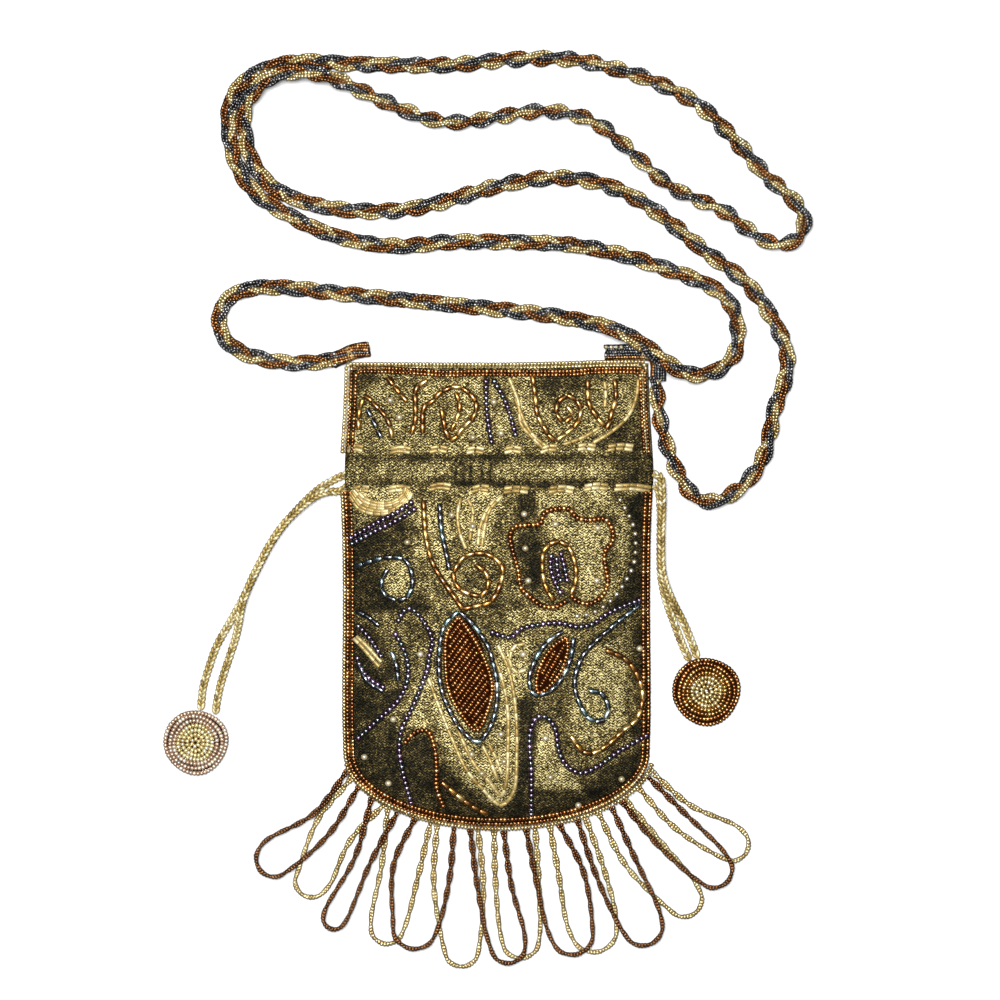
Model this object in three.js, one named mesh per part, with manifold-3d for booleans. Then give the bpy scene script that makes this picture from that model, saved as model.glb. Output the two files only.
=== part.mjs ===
// A beaded drawstring bag that lies on its back: a brocade pouch edged with bead strings, a looped bead
// fringe, a braided bead strap laid out in loops above the mouth, and two drawstrings with beaded discs.
// Millimetres, +Z up. The origin is the middle of the pouch's back face, on the surface that it lies on.
// +Y points from the fringe to the mouth, and +X to the right as the front is seen.

import * as THREE from 'three';
import { mergeVertices } from 'three/addons/utils/BufferGeometryUtils.js';
import Module from 'manifold-3d';

const wasm = await Module();
wasm.setup();

// Clearances
const GAP = 0.35; // between pieces that touch on the real bag
const FLOOR_GAP = 0.05; // between the lowest beads and the surface
const EDGE_GAP = 0.56; // between the gold edging and the cloth beside it
const STRING_GAP = 0.49; // between the bronze edging and the cloth under it
const HEM_GAP = 0.45; // between the gold edging and the fringe's head strip
const STRAND_BREAK = 1.05; // between the two lengths of a strap strand

// Pouch
const MOUTH_Y = 83.5;
const ROUND_Y = -57.2; // where the straight sides turn into the round bottom
const ROUND_DEPTH = 26.3;
const CASING_TOP_Y = 50;
const CASING_BOTTOM_Y = 37.4;
const BACK_CLOTH = 1.2;
const FRONT_CLOTH = 1.4;
const SEAM_Z = BACK_CLOTH + GAP; // underside of the front cloth along the seams
const BULGE_POWER = 0.75; // roundness of the front from seam to seam
const COLUMNS = 16;
const ROUND_ROWS = 5;
const ROUND_STEPS = 12; // stations of an edging round the bottom
const SIDE_STATIONS = [0, 0.15, 0.45, 0.75]; // and down a side
const UPPER_SIDE_Y = 65; // the one between the casing and the mouth
const RIM_STATIONS = [0, 0.06, 0.15, 0.3, 0.5, 0.7, 0.85, 0.94, 1]; // and across the mouth

// Cross sections of the pouch from the mouth down: half width of the edged outline, how far the front
// cloth stands off the back, and the height of the gathers that the drawstrings leave
const SECTIONS = [
  { y: MOUTH_Y, half: 54.2, crown: 6.6, gather: 0 },
  { y: 75, half: 54.4, crown: 7.2, gather: 0 },
  { y: 65, half: 54.8, crown: 7.2, gather: 0 },
  { y: 56, half: 55.4, crown: 6.6, gather: 0.15 },
  { y: CASING_TOP_Y, half: 55.8, crown: 5.2, gather: 0.2 },
  { y: 47, half: 56, crown: 6.2, gather: 0.35 },
  { y: 41, half: 56, crown: 6.3, gather: 0.35 },
  { y: CASING_BOTTOM_Y, half: 55.8, crown: 5.4, gather: 0.2 },
  { y: 31, half: 55.4, crown: 7, gather: 0.15 },
  { y: 20, half: 55, crown: 7.9, gather: 0 },
  { y: 5, half: 54.8, crown: 8.6, gather: 0 },
  { y: -12, half: 54.8, crown: 9, gather: 0 },
  { y: -30, half: 55, crown: 9, gather: 0 },
  { y: -45, half: 55, crown: 8.6, gather: 0 },
  { y: ROUND_Y, half: 54.6, crown: 8.2, gather: 0 },
];

// Bead strings along the edges
const EDGE_RADIUS = 0.95;
const EDGE_SIDES = 6;
const EDGE_Z = 1.4; // the gold string covers the seam
const PANEL_INSET = 2 * EDGE_RADIUS + EDGE_GAP;
const BRONZE_INSET_LEFT = 3.9; // from the outline to the bronze string's middle
const BRONZE_INSET_RIGHT = 1.7; // on the right it is rolled over the gold one
const CORNER = 0.8; // how soon an edging turns at the mouth's corners

// Bead-filled leaves, low padded ovals on the front cloth; the tilt is from +Y towards -X
const LEAF_PAD = 1.3;
const LEAF_POINT = 0.25; // how much narrower than an oval's the ends are
const LEAF_SEGMENTS = 10;
const LEAF_RINGS = 8;
const LEAVES = [
  { name: 'leaf_large', x: -11.2, y: -28, length: 39, width: 15, tilt: 0.15 },
  { name: 'leaf_small', x: 18.7, y: -24.8, length: 21, width: 7.6, tilt: -0.44 },
];

// Strap: a flat braid of three thick bead strands
const BRAID_PERIOD = 27;
const BRAID_HALF_WIDTH = 2.15; // from the middle to an outer strand's middle
const BRAID_HALF_DEPTH = 1.75;
const STRAND_HALF_WIDTH = 1.2;
const STRAND_HALF_DEPTH = 0.8;
const STRAND_SIDES = 5;
const SPAN_DIVISIONS = 40; // for measuring along the strap
const STRAP_MEETING = 49; // the point of the way out where each strand's two lengths meet
const BRAID_Z = BRAID_HALF_DEPTH + STRAND_HALF_DEPTH + 2 * FLOOR_GAP;
const END_WIDTH = 5.8;
const END_DEPTH = 4.8;
const END_CUT = 1.2; // cut corners of their section
const END_STEPS = 2; // between two points of their route

// The strap's way from the left corner of the mouth to its far fold; the third number lifts it over
// what it crosses, here the bound end at the right corner
const STRAP_OUT = [
  [-58.4, 84.2], [-71.5, 83], [-82.5, 84], [-91.5, 86.5], [-98, 91], [-100.5, 97], [-99.5, 103],
  [-95.5, 107.5], [-87.5, 110], [-75, 110], [-57, 108], [-32, 105.5], [-7, 103], [16, 100.5],
  [33, 97.5, 0.6], [42, 94.5, 5.4], [51.5, 89.5, 6.2], [59, 83.5, 6.2], [68, 79, 3.4], [76, 79.5, 0.2],
  [82.5, 83.5], [85.5, 89.5], [85.5, 97], [83.5, 103.5], [78.5, 109], [69.5, 113.5], [58, 117.5],
  [43.5, 122], [25.5, 125.5], [4, 126.5], [-17.5, 126.5], [-35.5, 125], [-50, 126.5], [-62.5, 130],
  [-75, 135], [-87.4, 143], [-94.2, 153], [-97.5, 165], [-97.3, 175.5], [-92.6, 183], [-84.5, 188.3],
  [-72, 191.2], [-53.5, 190.5], [-17.5, 190], [4, 192], [25.5, 192], [42, 188.5], [58, 183], [72.5, 175],
  [85, 162.5], [96.5, 149.5], [105, 142], [109.5, 135],
];

// The way back from the far fold to the right corner of the mouth, over the way out at the left bend
const STRAP_BACK = [
  [107, 127.6], [99.5, 125.6], [90.5, 130], [81.5, 137], [61.5, 146.5], [44.5, 161.5],
  [36.5, 168], [27.5, 172], [15, 173.5], [-14, 169.5], [-25, 170.5], [-41, 176.8], [-51, 181.2, 1.4],
  [-58.8, 184.6, 4.2], [-66.3, 186.6, 5.4], [-74, 186.9, 5.4], [-81.5, 185.2, 5.4], [-87, 181, 5],
  [-90.2, 175, 3], [-90.5, 168.5, 0.8], [-89.6, 161.5], [-87.5, 155], [-81, 147.5], [-71.5, 142.5], [-59, 138.5], [-44.5, 137.5], [-28.5, 139], [4, 147.5], [22, 149.5], [36.5, 147.5],
  [51, 141], [74, 123], [89.5, 111], [100.5, 94.5], [103.5, 85], [102, 75], [99, 67], [97, 57],
  [94, 47.5], [87, 38.5], [78, 33.5], [71, 34.5], [66, 40.5], [62.5, 48], [59.8, 58.5], [58.6, 68],
  [58, 78.2],
];

// Bound ends of the strap, laid along the mouth's edge
const STRAP_ENDS = [
  { name: 'strap_end_left', route: [[-56.2, 85.6], [-52, 87.3], [-46, 87.6]] },
  { name: 'strap_end_right', route: [[58, 79.5], [57.8, 83.4], [56.4, 86.2], [53, 87.2], [37.5, 87.2]] },
];

// Drawstrings: two legs of braided cord on each side, from the casing to a beaded disc; the third number
// lifts a leg that lies on the other one
const CORD_RADIUS = 1.25;
const CORD_SIDES = 8;
const CORD_Z = CORD_RADIUS + FLOOR_GAP;
const CORD_STACK = 2 * CORD_RADIUS + GAP;
const DRAWSTRINGS = {
  drawstring_left_a: [
    [-54.7, 43, 0.6], [-56.6, 42.4, 0.3], [-62.5, 39.4], [-66.9, 36.1], [-75.7, 26.9], [-81.6, 18.9],
    [-86, 10.8], [-89.6, 3.4], [-93.3, -3.9], [-97, -10.6], [-101.4, -18.4], [-104.4, -26.7],
    [-106.4, -33.6], [-107.3, -41.2],
  ],
  drawstring_left_b: [
    [-54.7, 38.6, 0.6], [-57.3, 37, 0.5], [-61, 36.8, 1.8], [-65.4, 35.4, CORD_STACK],
    [-75.7, 26.9, CORD_STACK], [-81.6, 18.9, CORD_STACK], [-86, 10.8, CORD_STACK], [-89.6, 3.4, CORD_STACK],
    [-92.2, -3.6, CORD_STACK], [-93.4, -9.8, 1.8], [-94.8, -16, 0.3], [-97.4, -24], [-99.8, -31.4],
    [-101.2, -37.4], [-102, -42.6],
  ],
  drawstring_right_a: [
    [54.8, 39.6, 0.6], [57, 38, 0.2], [58, 31], [58, 19.5], [58.2, 7], [59.8, -1.5], [62.6, -9.5],
    [65.2, -16.5], [67, -20.8], [68.3, -23.6],
  ],
  drawstring_right_b: [
    [54.8, 43.6, 0.8], [57.8, 42, 2], [58.6, 36, CORD_STACK], [58.2, 19.5, CORD_STACK],
    [58.8, 7, CORD_STACK], [61.8, -1.5, 2], [66.2, -10, 0.2], [69.2, -17], [71.2, -22.6],
  ],
};

// Beaded discs on the drawstrings' ends
const DISC_DEPTH = 4.2;
const DISC_RIM = 1.1; // rounding of the rim
const DISC_SEGMENTS = 16;
const DISCS = [
  { name: 'medallion_left', x: -109, y: -53.3, radius: 11.8 },
  { name: 'medallion_right', x: 74.5, y: -35, radius: 12.4 },
];

// Fringe: loops of bead string that hang from a head strip along the round bottom. Each row gives the
// loop's two roots across the hem, its tip, its width near the tip and how far each leg bows sideways.
const FRINGE_RADIUS = 1;
const FRINGE_SIDES = 5;
const HEAD_RADIUS = 0.8;
const HEAD_OFFSET = HEAD_RADIUS + HEM_GAP; // from the pouch's outline to the strip's middle
const HEAD_STEPS = 14;
const HEAD_END = 0.13; // angle from the round bottom's widest line to the strip's end, in radians
const SHOULDER_BACK = 0.6; // from a loop's tip back to where it is widest, in widths
const BEND_BACK = 0.16; // from the tip back to the bend between, in widths
const BEND_OUT = 0.36; // and sideways
const MERGE_DISTANCE = 1e-4;
const GOLD_LOOP_Z = FRINGE_RADIUS + FLOOR_GAP;
const BRONZE_LOOP_Z = GOLD_LOOP_Z + 2 * FRINGE_RADIUS + GAP;
const GOLD_LOOPS = [
  { start: -52.9, end: -41.4, tipX: -70.6, tipY: -108.2, width: 12.5, bowStart: -3, bowEnd: -2.8 },
  { start: -40, end: -24.6, tipX: -41.4, tipY: -125.8, width: 12.4, bowStart: 0.9, bowEnd: 0.3 },
  { start: -22.3, end: -7.6, tipX: -13.3, tipY: -134, width: 13, bowStart: -2.3, bowEnd: 1.7 },
  { start: -1.8, end: 13, tipX: 8.1, tipY: -131, width: 14, bowStart: -0.7, bowEnd: 0.4 },
  { start: 18.2, end: 31, tipX: 36, tipY: -128.6, width: 17.6, bowStart: 0, bowEnd: 0.9 },
  { start: 35.6, end: 45, tipX: 70.5, tipY: -114.8, width: 13.5, bowStart: -3.1, bowEnd: 0 },
  { start: 50, end: 54.4, tipX: 88.6, tipY: -93.6, width: 12.6, bowStart: -2.5, bowEnd: -2.7 },
];
const BRONZE_LOOPS = [
  { start: -54.4, end: -50.4, tipX: -85.3, tipY: -99.6, width: 13.5, bowStart: 3.8, bowEnd: 2.6 },
  { start: -45.7, end: -36.4, tipX: -60.8, tipY: -120, width: 8.4, bowStart: 2.6, bowEnd: -1 },
  { start: -30.2, end: -16.2, tipX: -31.8, tipY: -127.2, width: 16.8, bowStart: -3.8, bowEnd: 1.2 },
  { start: -10.4, end: 1.6, tipX: 4.3, tipY: -132.4, width: 13, bowStart: -0.8, bowEnd: -1.1 },
  { start: 9.7, end: 21.6, tipX: 28.2, tipY: -129.2, width: 16, bowStart: -0.4, bowEnd: 2.8 },
  { start: 28.1, end: 40.3, tipX: 54.4, tipY: -125.6, width: 15, bowStart: -1.2, bowEnd: 0 },
  { start: 43.9, end: 53.3, tipX: 81.7, tipY: -103.5, width: 14, bowStart: -1.4, bowEnd: 0 },
];

// Finishes
const FINISHES = {
  brocade: { color: 0x8f8550, roughness: 0.5, metalness: 0.35 },
  backCloth: { color: 0x4a4632, roughness: 0.85, metalness: 0 },
  goldBeads: { color: 0xd2bd84, roughness: 0.25, metalness: 0.55 },
  bronzeBeads: { color: 0x6e3416, roughness: 0.22, metalness: 0.5 },
  darkBeads: { color: 0x35302e, roughness: 0.2, metalness: 0.6 },
  goldCord: { color: 0xbd9d50, roughness: 0.5, metalness: 0.4 },
};

const bag = new THREE.Group();

function addPiece(name, geometry, finish) {
  const mesh = new THREE.Mesh(geometry, new THREE.MeshStandardMaterial(FINISHES[finish]));
  mesh.name = name;
  bag.add(mesh);
  return mesh;
}

// A smooth curve through hand-placed points, cut at equal steps of its parameter, so that its stations
// lie close together where the points do. A section's first axis points down and its second sideways.
class StationCurve extends THREE.CatmullRomCurve3 {
  getUtoTmapping(u) {
    return u;
  }

  computeFrenetFrames(segments) {
    const down = new THREE.Vector3(0, 0, -1);
    const stations = Array.from({ length: segments + 1 }, (_, i) => i / segments);
    const tangents = stations.map((u) => this.getTangentAt(u));
    const binormals = tangents.map((tangent) => tangent.clone().cross(down).normalize());
    const normals = tangents.map((tangent, i) => binormals[i].clone().cross(tangent));
    return { tangents, normals, binormals };
  }
}

function polygon(sides, halfDepth, halfWidth = halfDepth) {
  const corners = Array.from({ length: sides }, (_, i) => {
    const angle = (2 * Math.PI * (i + 0.5)) / sides;
    return new THREE.Vector2(halfDepth * Math.cos(angle), halfWidth * Math.sin(angle));
  });
  return new THREE.Shape(corners);
}

function sweep(section, points, stepsPerSpan = 1) {
  return new THREE.ExtrudeGeometry(section, {
    steps: (points.length - 1) * stepsPerSpan,
    bevelEnabled: false,
    extrudePath: new StationCurve(points),
  });
}

// The pouch's form

function sectionValue(column, y) {
  const lower = SECTIONS.findIndex((section) => section.y <= y);
  if (lower <= 0) {
    return lower === 0 ? SECTIONS[0][column] : SECTIONS.at(-1)[column];
  }
  const above = SECTIONS[lower - 1];
  const below = SECTIONS[lower];
  return THREE.MathUtils.mapLinear(y, above.y, below.y, above[column], below[column]);
}

function bulge(across) {
  return Math.max(0, 1 - across * across) ** BULGE_POWER;
}

// A point of the round bottom: across and down run over a square that is bent into a half ellipse.
function roundPoint(across, down, inset) {
  const half = SECTIONS.at(-1).half - inset;
  const depth = ROUND_DEPTH - inset;
  return new THREE.Vector2(
    half * across * Math.sqrt(1 - (down * down) / 2),
    ROUND_Y - depth * down * Math.sqrt(1 - (across * across) / 2),
  );
}

// One coordinate of the square that roundPoint bends, from a point of the unit disc
function squareCoordinate(along, other) {
  const base = 2 + along * along - other * other;
  const swing = 2 * Math.SQRT2 * along;
  return (Math.sqrt(Math.max(0, base + swing)) - Math.sqrt(Math.max(0, base - swing))) / 2;
}

// Height of the front cloth's underside over a place of the pouch
function frontUnderside(x, y) {
  if (y >= ROUND_Y) {
    const across = x / (sectionValue('half', y) - PANEL_INSET);
    return SEAM_Z + sectionValue('crown', y) * bulge(across);
  }
  const u = x / (SECTIONS.at(-1).half - PANEL_INSET);
  const v = (ROUND_Y - y) / (ROUND_DEPTH - PANEL_INSET);
  const height = SECTIONS.at(-1).crown;
  return SEAM_Z + height * bulge(squareCoordinate(u, v)) * bulge(squareCoordinate(v, u));
}

function frontTop(x, y) {
  return frontUnderside(x, y) + FRONT_CLOTH;
}

// Place of a front cloth grid point, with the wall's underside height
function frontGridPoint(across, row, column) {
  const last = SECTIONS.length - 1;
  if (row > last) {
    const down = (row - last) / ROUND_ROWS;
    const place = roundPoint(across, down, PANEL_INSET);
    return new THREE.Vector3(place.x, place.y, SEAM_Z + SECTIONS[last].crown * bulge(across) * bulge(down));
  }
  const section = SECTIONS[row];
  const y = row === 0 ? MOUTH_Y - PANEL_INSET : section.y;
  const fold = section.gather * (column % 2 ? 1 : -1);
  const height = SEAM_Z + (section.crown + fold) * bulge(across);
  return new THREE.Vector3((section.half - PANEL_INSET) * across, y, height);
}

function addFrontPanel() {
  const rows = SECTIONS.length - 1 + ROUND_ROWS;
  const geometry = new THREE.BoxGeometry(2, 2, 1, COLUMNS, rows, 1);
  const position = geometry.attributes.position;
  for (let i = 0; i < position.count; i += 1) {
    const across = position.getX(i);
    const row = Math.round(((1 - position.getY(i)) / 2) * rows);
    const column = Math.round(((across + 1) / 2) * COLUMNS);
    const place = frontGridPoint(across, row, column);
    const wall = position.getZ(i) > 0 ? FRONT_CLOTH : 0;
    position.setXYZ(i, place.x, place.y, place.z + wall);
  }
  addPiece('front_panel', geometry, 'brocade');
}

// Points of the round bottom from left to right
function roundOutline(inset, steps, endAngle = 0) {
  const half = SECTIONS.at(-1).half - inset;
  const depth = ROUND_DEPTH - inset;
  return Array.from({ length: steps + 1 }, (_, i) => {
    const even = i / steps;
    const eased = (even + (1 - Math.cos(Math.PI * even)) / 2) / 2; // closer where the bottom bends most
    const angle = THREE.MathUtils.lerp(Math.PI + endAngle, 2 * Math.PI - endAngle, eased);
    return new THREE.Vector2(half * Math.cos(angle), ROUND_Y + depth * Math.sin(angle));
  });
}

// Points of a straight side from a height down to where the round bottom starts
function sideOutline(side, inset, top) {
  const heights = SIDE_STATIONS.map((fraction) => THREE.MathUtils.lerp(top, ROUND_Y, fraction));
  return heights.map((y) => new THREE.Vector2(side * (sectionValue('half', y) - inset), y));
}

function addBackPanel() {
  const left = sideOutline(-1, PANEL_INSET, MOUTH_Y - PANEL_INSET);
  const right = sideOutline(1, PANEL_INSET, MOUTH_Y - PANEL_INSET).reverse();
  const outline = new THREE.Shape([...left, ...roundOutline(PANEL_INSET, ROUND_STEPS), ...right]);
  const geometry = new THREE.ExtrudeGeometry(outline, { depth: BACK_CLOTH, bevelEnabled: false });
  addPiece('back_panel', geometry, 'backCloth');
}

// The edging bead strings

// Place of a string that lies on the front cloth, lifted more where the cloth is steep
function onFront({ x, y }) {
  const reach = EDGE_RADIUS;
  const slopeX = (frontTop(x + reach, y) - frontTop(x - reach, y)) / (2 * reach);
  const slopeY = (frontTop(x, y + reach) - frontTop(x, y - reach)) / (2 * reach);
  const lift = (EDGE_RADIUS + STRING_GAP) * Math.hypot(1, slopeX, slopeY);
  return new THREE.Vector3(x, y, frontTop(x, y) + lift);
}

// The way round the sides and the bottom below the casing
function lowerOutline(insetLeft, insetRight) {
  const top = CASING_BOTTOM_Y - EDGE_RADIUS;
  const bottom = Array.from({ length: ROUND_STEPS + 1 }, (_, i) => {
    const inset = THREE.MathUtils.lerp(insetLeft, insetRight, i / ROUND_STEPS);
    return roundOutline(inset, ROUND_STEPS)[i];
  });
  return [
    ...sideOutline(-1, insetLeft, top),
    ...bottom,
    ...sideOutline(1, insetRight, top).reverse(),
  ];
}

// The way up the left side above the casing, along the mouth and down the right side
function upperOutline(insetLeft, insetRight, rimY) {
  const bottom = CASING_TOP_Y + EDGE_RADIUS;
  const left = (y) => new THREE.Vector2(insetLeft - sectionValue('half', y), y);
  const right = (y) => new THREE.Vector2(sectionValue('half', y) - insetRight, y);
  const sideHeights = [bottom, UPPER_SIDE_Y, rimY - CORNER];
  const rimStart = insetLeft + CORNER - SECTIONS[0].half;
  const rimEnd = SECTIONS[0].half - insetRight - CORNER;
  const rimXs = RIM_STATIONS.map((fraction) => THREE.MathUtils.lerp(rimStart, rimEnd, fraction));
  return [
    ...sideHeights.map(left),
    ...rimXs.map((x) => new THREE.Vector2(x, rimY)),
    ...sideHeights.reverse().map(right),
  ];
}

function addEdging() {
  const section = polygon(EDGE_SIDES, EDGE_RADIUS);
  const rimY = MOUTH_Y - EDGE_RADIUS;
  const onSeam = (place) => {
    const rim = Math.abs(place.y - rimY) < EDGE_RADIUS;
    const z = rim ? frontUnderside(place.x, place.y) + FRONT_CLOTH / 2 : EDGE_Z;
    return new THREE.Vector3(place.x, place.y, Math.max(z, EDGE_Z));
  };
  const goldTop = upperOutline(EDGE_RADIUS, EDGE_RADIUS, rimY).map(onSeam);
  const goldLower = lowerOutline(EDGE_RADIUS, EDGE_RADIUS).map(onSeam);
  const bronzeRimY = MOUTH_Y - PANEL_INSET - EDGE_RADIUS - GAP;
  const bronzeTop = upperOutline(BRONZE_INSET_LEFT, BRONZE_INSET_RIGHT, bronzeRimY).map(onFront);
  const bronzeLower = lowerOutline(BRONZE_INSET_LEFT, BRONZE_INSET_RIGHT).map(onFront);
  addPiece('edge_gold_top', sweep(section, goldTop), 'goldBeads');
  addPiece('edge_gold_lower', sweep(section, goldLower), 'goldBeads');
  addPiece('edge_bronze_top', sweep(section, bronzeTop), 'bronzeBeads');
  addPiece('edge_bronze_lower', sweep(section, bronzeLower), 'bronzeBeads');
}

// A low pad with pointed ends: a ball squeezed flat below, laid over the front cloth
function addLeaf({ name, x, y, length, width, tilt }) {
  const geometry = new THREE.SphereGeometry(1, LEAF_SEGMENTS, LEAF_RINGS);
  const position = geometry.attributes.position;
  for (let i = 0; i < position.count; i += 1) {
    const along = position.getY(i);
    const across = position.getX(i) * (1 - LEAF_POINT * along * along);
    const px = x + (across * width * Math.cos(tilt) - along * length * Math.sin(tilt)) / 2;
    const py = y + (across * width * Math.sin(tilt) + along * length * Math.cos(tilt)) / 2;
    const pad = Math.max(0, position.getZ(i)) * LEAF_PAD;
    position.setXYZ(i, px, py, frontTop(px, py) + GAP + pad);
  }
  addPiece(name, geometry, 'bronzeBeads');
}

// The strap

function strapLine() {
  const route = [...STRAP_OUT, ...STRAP_BACK];
  const points = route.map(([x, y, lift = 0]) => new THREE.Vector3(x, y, BRAID_Z + lift));
  const line = new THREE.CatmullRomCurve3(points);
  line.arcLengthDivisions = (route.length - 1) * SPAN_DIVISIONS;
  return line;
}

// Sideways place of a braid strand: it crosses over in a quarter turn and stays outside for the next
function strandSide(turn) {
  const quarter = (((turn + 0.125) % 1) + 1) % 1 * 4;
  if (quarter < 1) {
    return 2 * quarter - 1;
  }
  if (quarter < 2) {
    return 1;
  }
  return quarter < 3 ? 5 - 2 * quarter : -1;
}

// Height of a braid strand: it rises as it crosses and dips on the outside
function strandRise(turn) {
  const half = (((turn + 0.125) % 0.5) + 0.5) % 0.5 * 4;
  return half < 1 ? 2 * half - 1 : 3 - 2 * half;
}

// Stations of one strand along a stretch of the strap, where it changes direction and at both ends
function strandStations(line, phase, from, to) {
  const length = line.getLength();
  const turnAt = (distance) => phase + distance / BRAID_PERIOD;
  const shortest = STRAND_HALF_DEPTH;
  const firstTurn = Math.ceil(4 * turnAt(from + shortest) - 0.5);
  const lastTurn = Math.floor(4 * turnAt(to - shortest) - 0.5);
  const distances = [from];
  for (let n = firstTurn; n <= lastTurn; n += 1) {
    distances.push(((n + 0.5) / 4 - phase) * BRAID_PERIOD);
  }
  distances.push(to);
  return distances.map((distance) => {
    const middle = line.getPointAt(distance / length);
    const heading = line.getTangentAt(distance / length);
    const side = new THREE.Vector3(-heading.y, heading.x, 0).normalize();
    const turn = turnAt(distance);
    return middle
      .addScaledVector(side, strandSide(turn) * BRAID_HALF_WIDTH)
      .add(new THREE.Vector3(0, 0, strandRise(turn) * BRAID_HALF_DEPTH));
  });
}

function addStrap() {
  const strands = [
    { colour: 'gold', phase: 0, finish: 'goldBeads' },
    { colour: 'bronze', phase: 1 / 3, finish: 'bronzeBeads' },
    { colour: 'dark', phase: 2 / 3, finish: 'darkBeads' },
  ];
  const line = strapLine();
  const meeting = line.getLengths()[STRAP_MEETING * SPAN_DIVISIONS];
  const section = polygon(STRAND_SIDES, STRAND_HALF_DEPTH, STRAND_HALF_WIDTH);
  for (const { colour, phase, finish } of strands) {
    const out = strandStations(line, phase, 0, meeting - STRAND_BREAK / 2);
    const back = strandStations(line, phase, meeting + STRAND_BREAK / 2, line.getLength());
    addPiece(`strap_${colour}_out`, sweep(section, out), finish);
    addPiece(`strap_${colour}_back`, sweep(section, back), finish);
  }
}

// A flattened section with cut corners
function boundSection() {
  const depth = END_DEPTH / 2;
  const width = END_WIDTH / 2;
  return new THREE.Shape([
    new THREE.Vector2(depth, width - END_CUT),
    new THREE.Vector2(depth - END_CUT, width),
    new THREE.Vector2(END_CUT - depth, width),
    new THREE.Vector2(-depth, width - END_CUT),
    new THREE.Vector2(-depth, END_CUT - width),
    new THREE.Vector2(END_CUT - depth, -width),
    new THREE.Vector2(depth - END_CUT, -width),
    new THREE.Vector2(depth, END_CUT - width),
  ]);
}

function addStrapEnds() {
  for (const { name, route } of STRAP_ENDS) {
    const points = route.map(([x, y]) => new THREE.Vector3(x, y, END_DEPTH / 2 + FLOOR_GAP));
    addPiece(name, sweep(boundSection(), points, END_STEPS), 'darkBeads');
  }
}

// The drawstrings and their discs

function addDrawstrings() {
  const section = polygon(CORD_SIDES, CORD_RADIUS);
  for (const [name, route] of Object.entries(DRAWSTRINGS)) {
    const points = route.map(([x, y, lift = 0]) => new THREE.Vector3(x, y, CORD_Z + lift));
    addPiece(name, sweep(section, points), 'goldCord');
  }
}

function addDisc({ name, x, y, radius }) {
  const profile = [
    new THREE.Vector2(0, 0),
    new THREE.Vector2(radius - DISC_RIM, 0),
    new THREE.Vector2(radius, DISC_RIM),
    new THREE.Vector2(radius, DISC_DEPTH - 2 * DISC_RIM),
    new THREE.Vector2(radius - DISC_RIM, DISC_DEPTH - DISC_RIM),
    new THREE.Vector2(radius / 2, DISC_DEPTH),
    new THREE.Vector2(0, DISC_DEPTH),
  ];
  const disc = addPiece(name, new THREE.LatheGeometry(profile, DISC_SEGMENTS), 'goldBeads');
  disc.rotation.x = Math.PI / 2;
  disc.position.set(x, y, FLOOR_GAP);
}

// The fringe

function toSolid(geometry) {
  geometry.deleteAttribute('normal');
  geometry.deleteAttribute('uv');
  const merged = mergeVertices(geometry, MERGE_DISTANCE);
  const mesh = new wasm.Mesh({
    numProp: 3,
    vertProperties: new Float32Array(merged.attributes.position.array),
    triVerts: new Uint32Array(merged.index.array),
  });
  return new wasm.Manifold(mesh);
}

function fromSolid(solid) {
  const mesh = solid.getMesh();
  const geometry = new THREE.BufferGeometry();
  geometry.setAttribute('position', new THREE.BufferAttribute(mesh.vertProperties, 3));
  geometry.setIndex(new THREE.BufferAttribute(mesh.triVerts, 1));
  geometry.computeVertexNormals();
  return geometry;
}

function hemPoint(x) {
  const half = SECTIONS.at(-1).half + HEAD_OFFSET;
  const depth = ROUND_DEPTH + HEAD_OFFSET;
  return new THREE.Vector2(x, ROUND_Y - depth * Math.sqrt(1 - (x / half) ** 2));
}

// A loop's line: down one leg, round the tip and up the other leg
function loopLine({ start, end, tipX, tipY, width, bowStart, bowEnd }, z) {
  const rootStart = hemPoint(start);
  const rootEnd = hemPoint(end);
  const tip = new THREE.Vector2(tipX, tipY);
  const heading = tip.clone().sub(rootStart.clone().lerp(rootEnd, 0.5)).normalize();
  const side = new THREE.Vector2(-heading.y, heading.x);
  const shoulder = tip.clone().addScaledVector(heading, -width * SHOULDER_BACK);
  const shoulderStart = shoulder.clone().addScaledVector(side, -width / 2);
  const shoulderEnd = shoulder.clone().addScaledVector(side, width / 2);
  const middleStart = rootStart.clone().lerp(shoulderStart, 0.5).addScaledVector(side, bowStart);
  const middleEnd = rootEnd.clone().lerp(shoulderEnd, 0.5).addScaledVector(side, bowEnd);
  const bend = tip.clone().addScaledVector(heading, -width * BEND_BACK);
  const bendStart = bend.clone().addScaledVector(side, -width * BEND_OUT);
  const bendEnd = bend.clone().addScaledVector(side, width * BEND_OUT);
  const down = [rootStart, middleStart, shoulderStart, bendStart];
  const up = [bendEnd, shoulderEnd, middleEnd, rootEnd];
  return [...down, tip, ...up].map((place) => new THREE.Vector3(place.x, place.y, z));
}

function addFringe(name, loops, z, finish) {
  const headLine = roundOutline(-HEAD_OFFSET, HEAD_STEPS, HEAD_END);
  const headPoints = headLine.map((place) => new THREE.Vector3(place.x, place.y, z));
  const section = polygon(FRINGE_SIDES, FRINGE_RADIUS);
  let fringe = toSolid(sweep(polygon(FRINGE_SIDES, HEAD_RADIUS), headPoints));
  for (const loop of loops) {
    fringe = fringe.add(toSolid(sweep(section, loopLine(loop, z))));
  }
  addPiece(name, fromSolid(fringe), finish);
}

addBackPanel();
addFrontPanel();
addEdging();
LEAVES.forEach(addLeaf);
addStrap();
addStrapEnds();
addDrawstrings();
DISCS.forEach(addDisc);
addFringe('fringe_gold', GOLD_LOOPS, GOLD_LOOP_Z, 'goldBeads');
addFringe('fringe_bronze', BRONZE_LOOPS, BRONZE_LOOP_Z, 'bronzeBeads');

export default bag;
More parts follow.
